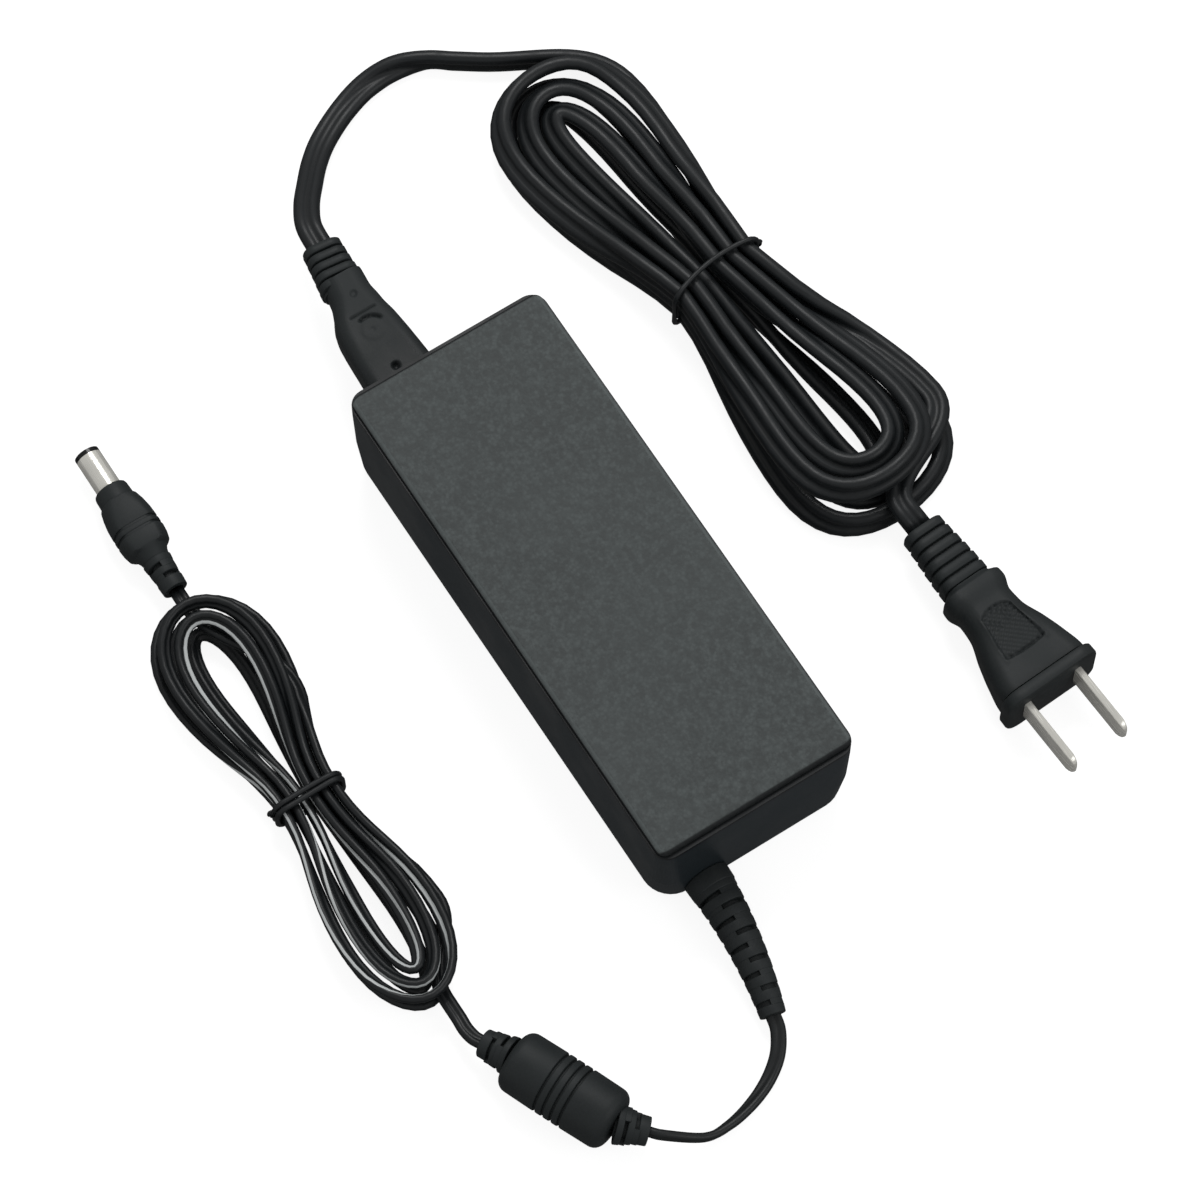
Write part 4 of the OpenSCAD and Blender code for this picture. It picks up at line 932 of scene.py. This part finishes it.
def ribs(widths, heights, length, first, share=0.8):
    """Flat bands with narrow grooves between them, deep on top and shallow at the sides."""
    bottom, edge, flush = (0.25, 0.8), (0.1, 0.15), (0, 0)

    def ring(x, w, h, depth):
        return [(x, y, z) for y, z in dense(round_rect(w - 2 * depth[0], h - 2 * depth[1], 2.5))]
    pitch = (length - first) / len(widths)
    rings = [ring(0, widths[0], heights[0], bottom)]
    for i, (w, h) in enumerate(zip(widths, heights)):
        x0, x1 = first + pitch * i, first + pitch * (i + share)
        rings += [ring(x, w, h, depth) for x, depth in
                  ((x0, bottom), (x0 + 0.05, edge), (x0 + 0.2, flush),
                   (x1 - 0.2, flush), (x1 - 0.05, edge), (x1, bottom))]
    return skin(rings + [ring(length - 0.1, widths[-1], heights[-1], bottom)])


CONNECTOR_RIBS_L, NOSE_L = 12.0, 12.0
connector_face = Matrix.Translation((CONNECTOR_FACE, INLET_Y, INLET_Z))
into_cord = connector_face @ Matrix.Rotation(math.pi, 4, "Z")
neck = frame_at(NECK_AT + neck_dir * (NECK_L - CONNECTOR_RIBS_L), neck_dir)


def nose_outline(grow=0.0, n=26):
    """The connector's nose: two round lobes joined by a flatter middle."""
    r, half, flat = 3.2 + grow, 4.3, 2.3 + grow
    a0 = math.asin(flat / r)
    points = []
    for k in range(n + 1):
        a = -(math.pi - a0) + 2 * (math.pi - a0) * k / n
        points.append((half + r * math.cos(a), r * math.sin(a)))
    return points + [(-y, -z) for y, z in points]


def nose(x0, x1):
    """The nose with a softened front edge."""
    rings = [[(x, y, z) for y, z in nose_outline(g)] for x, g in
             ((x0, 0), (x1 - 0.4, 0), (x1 - 0.1, -0.12), (x1, -0.4))]
    return skin(rings)


connector = piece(
    "mains_connector", CORD_SET, "plug_rubber",
    *join(sculpt(CONNECTOR, into_cord, 0.24, connector_height),
          moved(ribs([9.5, 9.2, 8.9, 8.7, 8.5], [7.6, 7.3, 7.0, 6.7, 6.5], CONNECTOR_RIBS_L, 0.8),
                neck),
          moved(nose(-0.1, NOSE_L), connector_face)),
    ("ac_connector",), angle=50)

# The plug starts where the hank's cord ends.
PLUG_AT, PLUG_YAW = Vector(AC_HANK.placed(AC_HANK.end)[:3]), AC_HANK.turn + AC_HANK.end_way
in_plug = frame_at(PLUG_AT, turned(PLUG_YAW))
PLUG_RIB_L = 15.3
# [distance from the ribs' end, y centre, width, height, corner radius]
PLUG = [
    [0, 0, 10.4, 8.2, 3.0], [0.5, 0, 11.2, 8.8, 3.2], [1.4, 0, 14.0, 10.0, 3.4],
    [2.9, 0, 14.3, 10.2, 3.6], [6.2, 0, 12.5, 9.6, 3.8], [9.5, 0, 12.9, 9.8, 3.8],
    [15, 0, 16.4, 10.6, 3.8], [20, 0, 19.0, 11.2, 3.6], [25.2, 0, 20.7, 11.8, 3.4]]


def plug_height(x, y):
    """The sunk grip pad, knurled with small diamonds, with a lip along its sides and a groove
    along its front edge."""
    back, front, pitch = 8.0, 19.4, 0.95
    half = mix(3.3, 4.5, smooth((x - back) / 11.0))
    inside = (smooth((x - back + 0.4 - 0.1 * y * y) / 0.5)
              * (1 - smooth((x - front + 0.02 * y * y) / 0.3))
              * (1 - smooth((abs(y) - half) / 0.35)))
    knurl = 0.2 * sum(max(0.0, math.cos(across * 0.7071 * 2 * math.pi / pitch))
                      for across in (x + y, x - y))
    lip = (math.exp(-((abs(y) - half - 0.5) / 0.4) ** 2)
           * smooth((x - back) / 2) * (1 - smooth(x - front)))
    groove = 0.35 * math.exp(-((x - front + 0.3 + 0.02 * y * y) / 0.3) ** 2)
    return inside * (knurl - 0.65 - groove) + 0.12 * lip


# [distance from the ribs' end, width, height, corner radius]
FLANGE = [
    [25.0, 20.0, 11.0, 3.4], [25.5, 20.0, 11.0, 3.4], [25.55, 21.9, 13.9, 3.5],
    [25.8, 22.3, 14.5, 3.6], [27.7, 22.4, 14.6, 3.6], [28.0, 22.2, 14.4, 3.6],
    [28.2, 21.8, 14.0, 3.5]]


def flange():
    """The plate at the plug's front, with softened edges."""
    return skin([[(x + PLUG_RIB_L, y, z) for y, z in dense(round_rect(w, h, r))]
                 for x, w, h, r in FLANGE])


plug = piece(
    "mains_plug", CORD_SET, "plug_rubber",
    *join(sculpt(PLUG, in_plug @ Matrix.Translation((PLUG_RIB_L - 0.1, 0, 0)), 0.22, plug_height),
          moved(ribs([9.2, 9.5, 9.9, 10.3, 10.6, 10.8], [7.0, 7.2, 7.4, 7.6, 7.8, 8.0],
                     PLUG_RIB_L + 0.2, 0.0), in_plug),
          moved(flange(), in_plug)),
    ("ac_plug",), angle=50)


BLADE_PITCH, BLADE_W, BLADE_T = 12.7, 6.35, 1.5
BLADE_FROM, BLADE_TO = 43.3, 59.5


def blade_mesh(side):
    """A flat blade on edge with a chamfered tip and softened edges."""
    sections = ((BLADE_FROM, BLADE_W, BLADE_T), (BLADE_TO - 2.0, BLADE_W, BLADE_T),
                (BLADE_TO - 1.1, 5.6, 1.3), (BLADE_TO - 0.4, 4.4, 1.0), (BLADE_TO, 3.0, 0.5))
    rings = [[(x, side * BLADE_PITCH / 2 + y, z) for y, z in round_rect(t, w, 0.25, 3)]
             for x, w, t in sections]
    return moved(skin(rings), in_plug)


blades = [piece(n, CORD_SET, "plated_metal", *blade_mesh(s), (c,), angle=30)
          for n, s, c in (("mains_blade_a", 1, "blade_left"), ("mains_blade_b", -1, "blade_right"))]


# ---------- ties ----------
def tie_path(hank, d, u0, slack=0.4, bow=0.0, wobble=0.12):
    """A closed line hugging the hank's waist."""
    high = hank.waist_v - hank.waist_step / 4 + hank.t / 2 + slack + d / 2
    low = -(hank.waist_v - 0.75 * hank.waist_step + hank.t / 2 + slack + d / 2)
    top = hank.tie_lift + 2 * hank.w + hank.gap + slack + d / 2
    outline = dense(round_rect(high - low, top - d / 2, 2.6))
    out = []
    for k, (y, z) in enumerate(outline):
        a = 2 * math.pi * k / len(outline)
        bend = bow * (1 - (2 * y / (high - low)) ** 2) * (1 if z > 0 else 0.3)
        out.append((u0 + bend + wobble * math.sin(2 * a + 9 * u0), y + (high + low) / 2,
                    z + (top + d / 2) / 2))
    return out


def closed_tube(path, d, sides=12):
    """A round wire along a closed line."""
    rings = []
    n = len(path)
    for i, p in enumerate(path):
        ahead = (Vector(path[(i + 1) % n]) - Vector(path[i - 1])).normalized()
        side = Vector((1, 0, 0))
        side = (side - ahead * side.dot(ahead)).normalized()
        other = ahead.cross(side)
        rings.append([Vector(p) + side * d / 2 * math.cos(a) + other * d / 2 * math.sin(a)
                      for a in ring_angles(sides)])
    verts, faces = skin(rings, ends=False)
    for k in range(sides):
        faces.append(((n - 1) * sides + k, (n - 1) * sides + (k + 1) % sides, (k + 1) % sides, k))
    return verts, faces


def twist(start, direction, length, d, turns=2.5, sides=10):
    """Two wires twisted round each other."""
    parts = []
    base = frame_at(start, direction, Vector((1, 0, 0.01)))
    for phase in (0, math.pi):
        rings = []
        for i in range(31):
            f = i / 30
            a = phase + f * turns * 2 * math.pi
            c = Vector((length * f, d * 0.5 * math.cos(a), d * 0.5 * math.sin(a)))
            rings.append([base @ (c + Vector((0, d / 2 * math.cos(b), d / 2 * math.sin(b))))
                          for b in ring_angles(sides)])
        parts.append(skin(rings))
    return join(*parts)


def in_hank(hank, mesh):
    """A mesh of u, v, z points in the row frame."""
    points = [hank.placed([u, v, z, 0])[:3] for u, v, z in mesh[0]]
    faces = mesh[1] if hank.side > 0 else [tuple(reversed(f)) for f in mesh[1]]
    return points, faces


DC_TIE_D, AC_TIE_D, TAIL_D = 1.2, 1.1, 0.8


def dc_tie_mesh():
    """Two turns side by side and a twisted tail."""
    turns = [closed_tube(tie_path(DC_HANK, DC_TIE_D, u), DC_TIE_D) for u in (-0.65, 0.65)]
    tail = twist(Vector((0, -6.3, 8.0)), Vector((0.25, -0.5, -0.6)), 2.6, TAIL_D)
    return in_hank(DC_HANK, join(*turns, tail))


def ac_tie_mesh():
    """One bowed turn and a twisted tail."""
    turn = closed_tube(tie_path(AC_HANK, AC_TIE_D, 0.3, 0.45, -1.6), AC_TIE_D)
    tail_v = AC_HANK.waist_v - AC_HANK.waist_step / 4 + AC_HANK.t / 2 + 0.55
    tail = twist(Vector((0, tail_v, 11.6)), Vector((0.15, 0.5, -0.6)), 2.0, TAIL_D)
    return in_hank(AC_HANK, join(turn, tail))


dc_tie = piece("output_cord_tie", ADAPTER, "tie_black", *dc_tie_mesh(), ("dc_tie",))
ac_tie = piece("mains_cord_tie", CORD_SET, "tie_black", *ac_tie_mesh(), ("ac_tie",))


# ---------- stage ----------
def by_ray(tree, kind, then, otherwise):
    """Picks between two shaders by the kind of ray that meets them."""
    ray, pick = tree.nodes.new("ShaderNodeLightPath"), tree.nodes.new("ShaderNodeMixShader")
    tree.links.new(ray.outputs[kind], pick.inputs[0])
    tree.links.new(otherwise.outputs[0], pick.inputs[1])
    tree.links.new(then.outputs[0], pick.inputs[2])
    return pick


def floor_material():
    """Nearly white to the camera with the object's soft shadow on it, plain grey in the light it
    gives back and dim in reflections."""
    material = bpy.data.materials.new("floor")
    material.use_nodes = True
    tree = material.node_tree
    tree.nodes.clear()

    def shader(kind, grey, strength=None):
        node = tree.nodes.new(kind)
        node.inputs["Color"].default_value = (grey, grey, grey, 1)
        if strength:
            node.inputs["Strength"].default_value = strength
        return node
    seen = tree.nodes.new("ShaderNodeAddShader")
    tree.links.new(shader("ShaderNodeBsdfDiffuse", 0.32).outputs[0], seen.inputs[0])
    tree.links.new(shader("ShaderNodeEmission", 1, 0.88).outputs[0], seen.inputs[1])
    to_camera = by_ray(tree, "Is Camera Ray", seen, shader("ShaderNodeBsdfDiffuse", 0.8))
    mirrored = by_ray(tree, "Is Glossy Ray", shader("ShaderNodeEmission", 1, 0.1), to_camera)
    out = tree.nodes.new("ShaderNodeOutputMaterial")
    tree.links.new(mirrored.outputs[0], out.inputs[0])
    return material


def make_floor():
    """A floor that keeps the object's soft shadow."""
    mesh = bpy.data.meshes.new("floor")
    half = 3.0
    corners = [(half * x, half * y, 0) for x, y in ((-1, -1), (1, -1), (1, 1), (-1, 1))]
    mesh.from_pydata(corners, [], [(0, 1, 2, 3)])
    floor = bpy.data.objects.new("floor", mesh)
    bpy.context.scene.collection.objects.link(floor)
    mesh.materials.append(floor_material())


def make_world():
    """A soft even light, which the camera sees as a pale grey."""
    world = bpy.data.worlds.new("world")
    bpy.context.scene.world = world
    world.use_nodes = True
    tree = world.node_tree
    light = tree.nodes["Background"]
    light.inputs["Color"].default_value = (1, 1, 1, 1)
    light.inputs["Strength"].default_value = 0.42
    pick = by_ray(tree, "Is Camera Ray", tree.nodes.new("ShaderNodeBackground"), light)
    tree.links.new(pick.outputs[0], tree.nodes["World Output"].inputs[0])


def make_lamp(name, place, size, power):
    """A round lamp that looks at the origin."""
    light = bpy.data.lights.new(name, "AREA")
    light.shape, light.size, light.energy = "DISK", size, power
    obj = bpy.data.objects.new(name, light)
    obj.location = place
    obj.rotation_euler = (-Vector(place)).to_track_quat("-Z", "Y").to_euler()
    bpy.context.scene.collection.objects.link(obj)


make_floor()
make_world()
make_lamp("key", (-0.55, 0.35, 0.95), 0.5, 4.6)
make_lamp("fill", (0.7, 0.5, 0.7), 0.6, 1.6)
bpy.context.scene.view_settings.view_transform = "Standard"
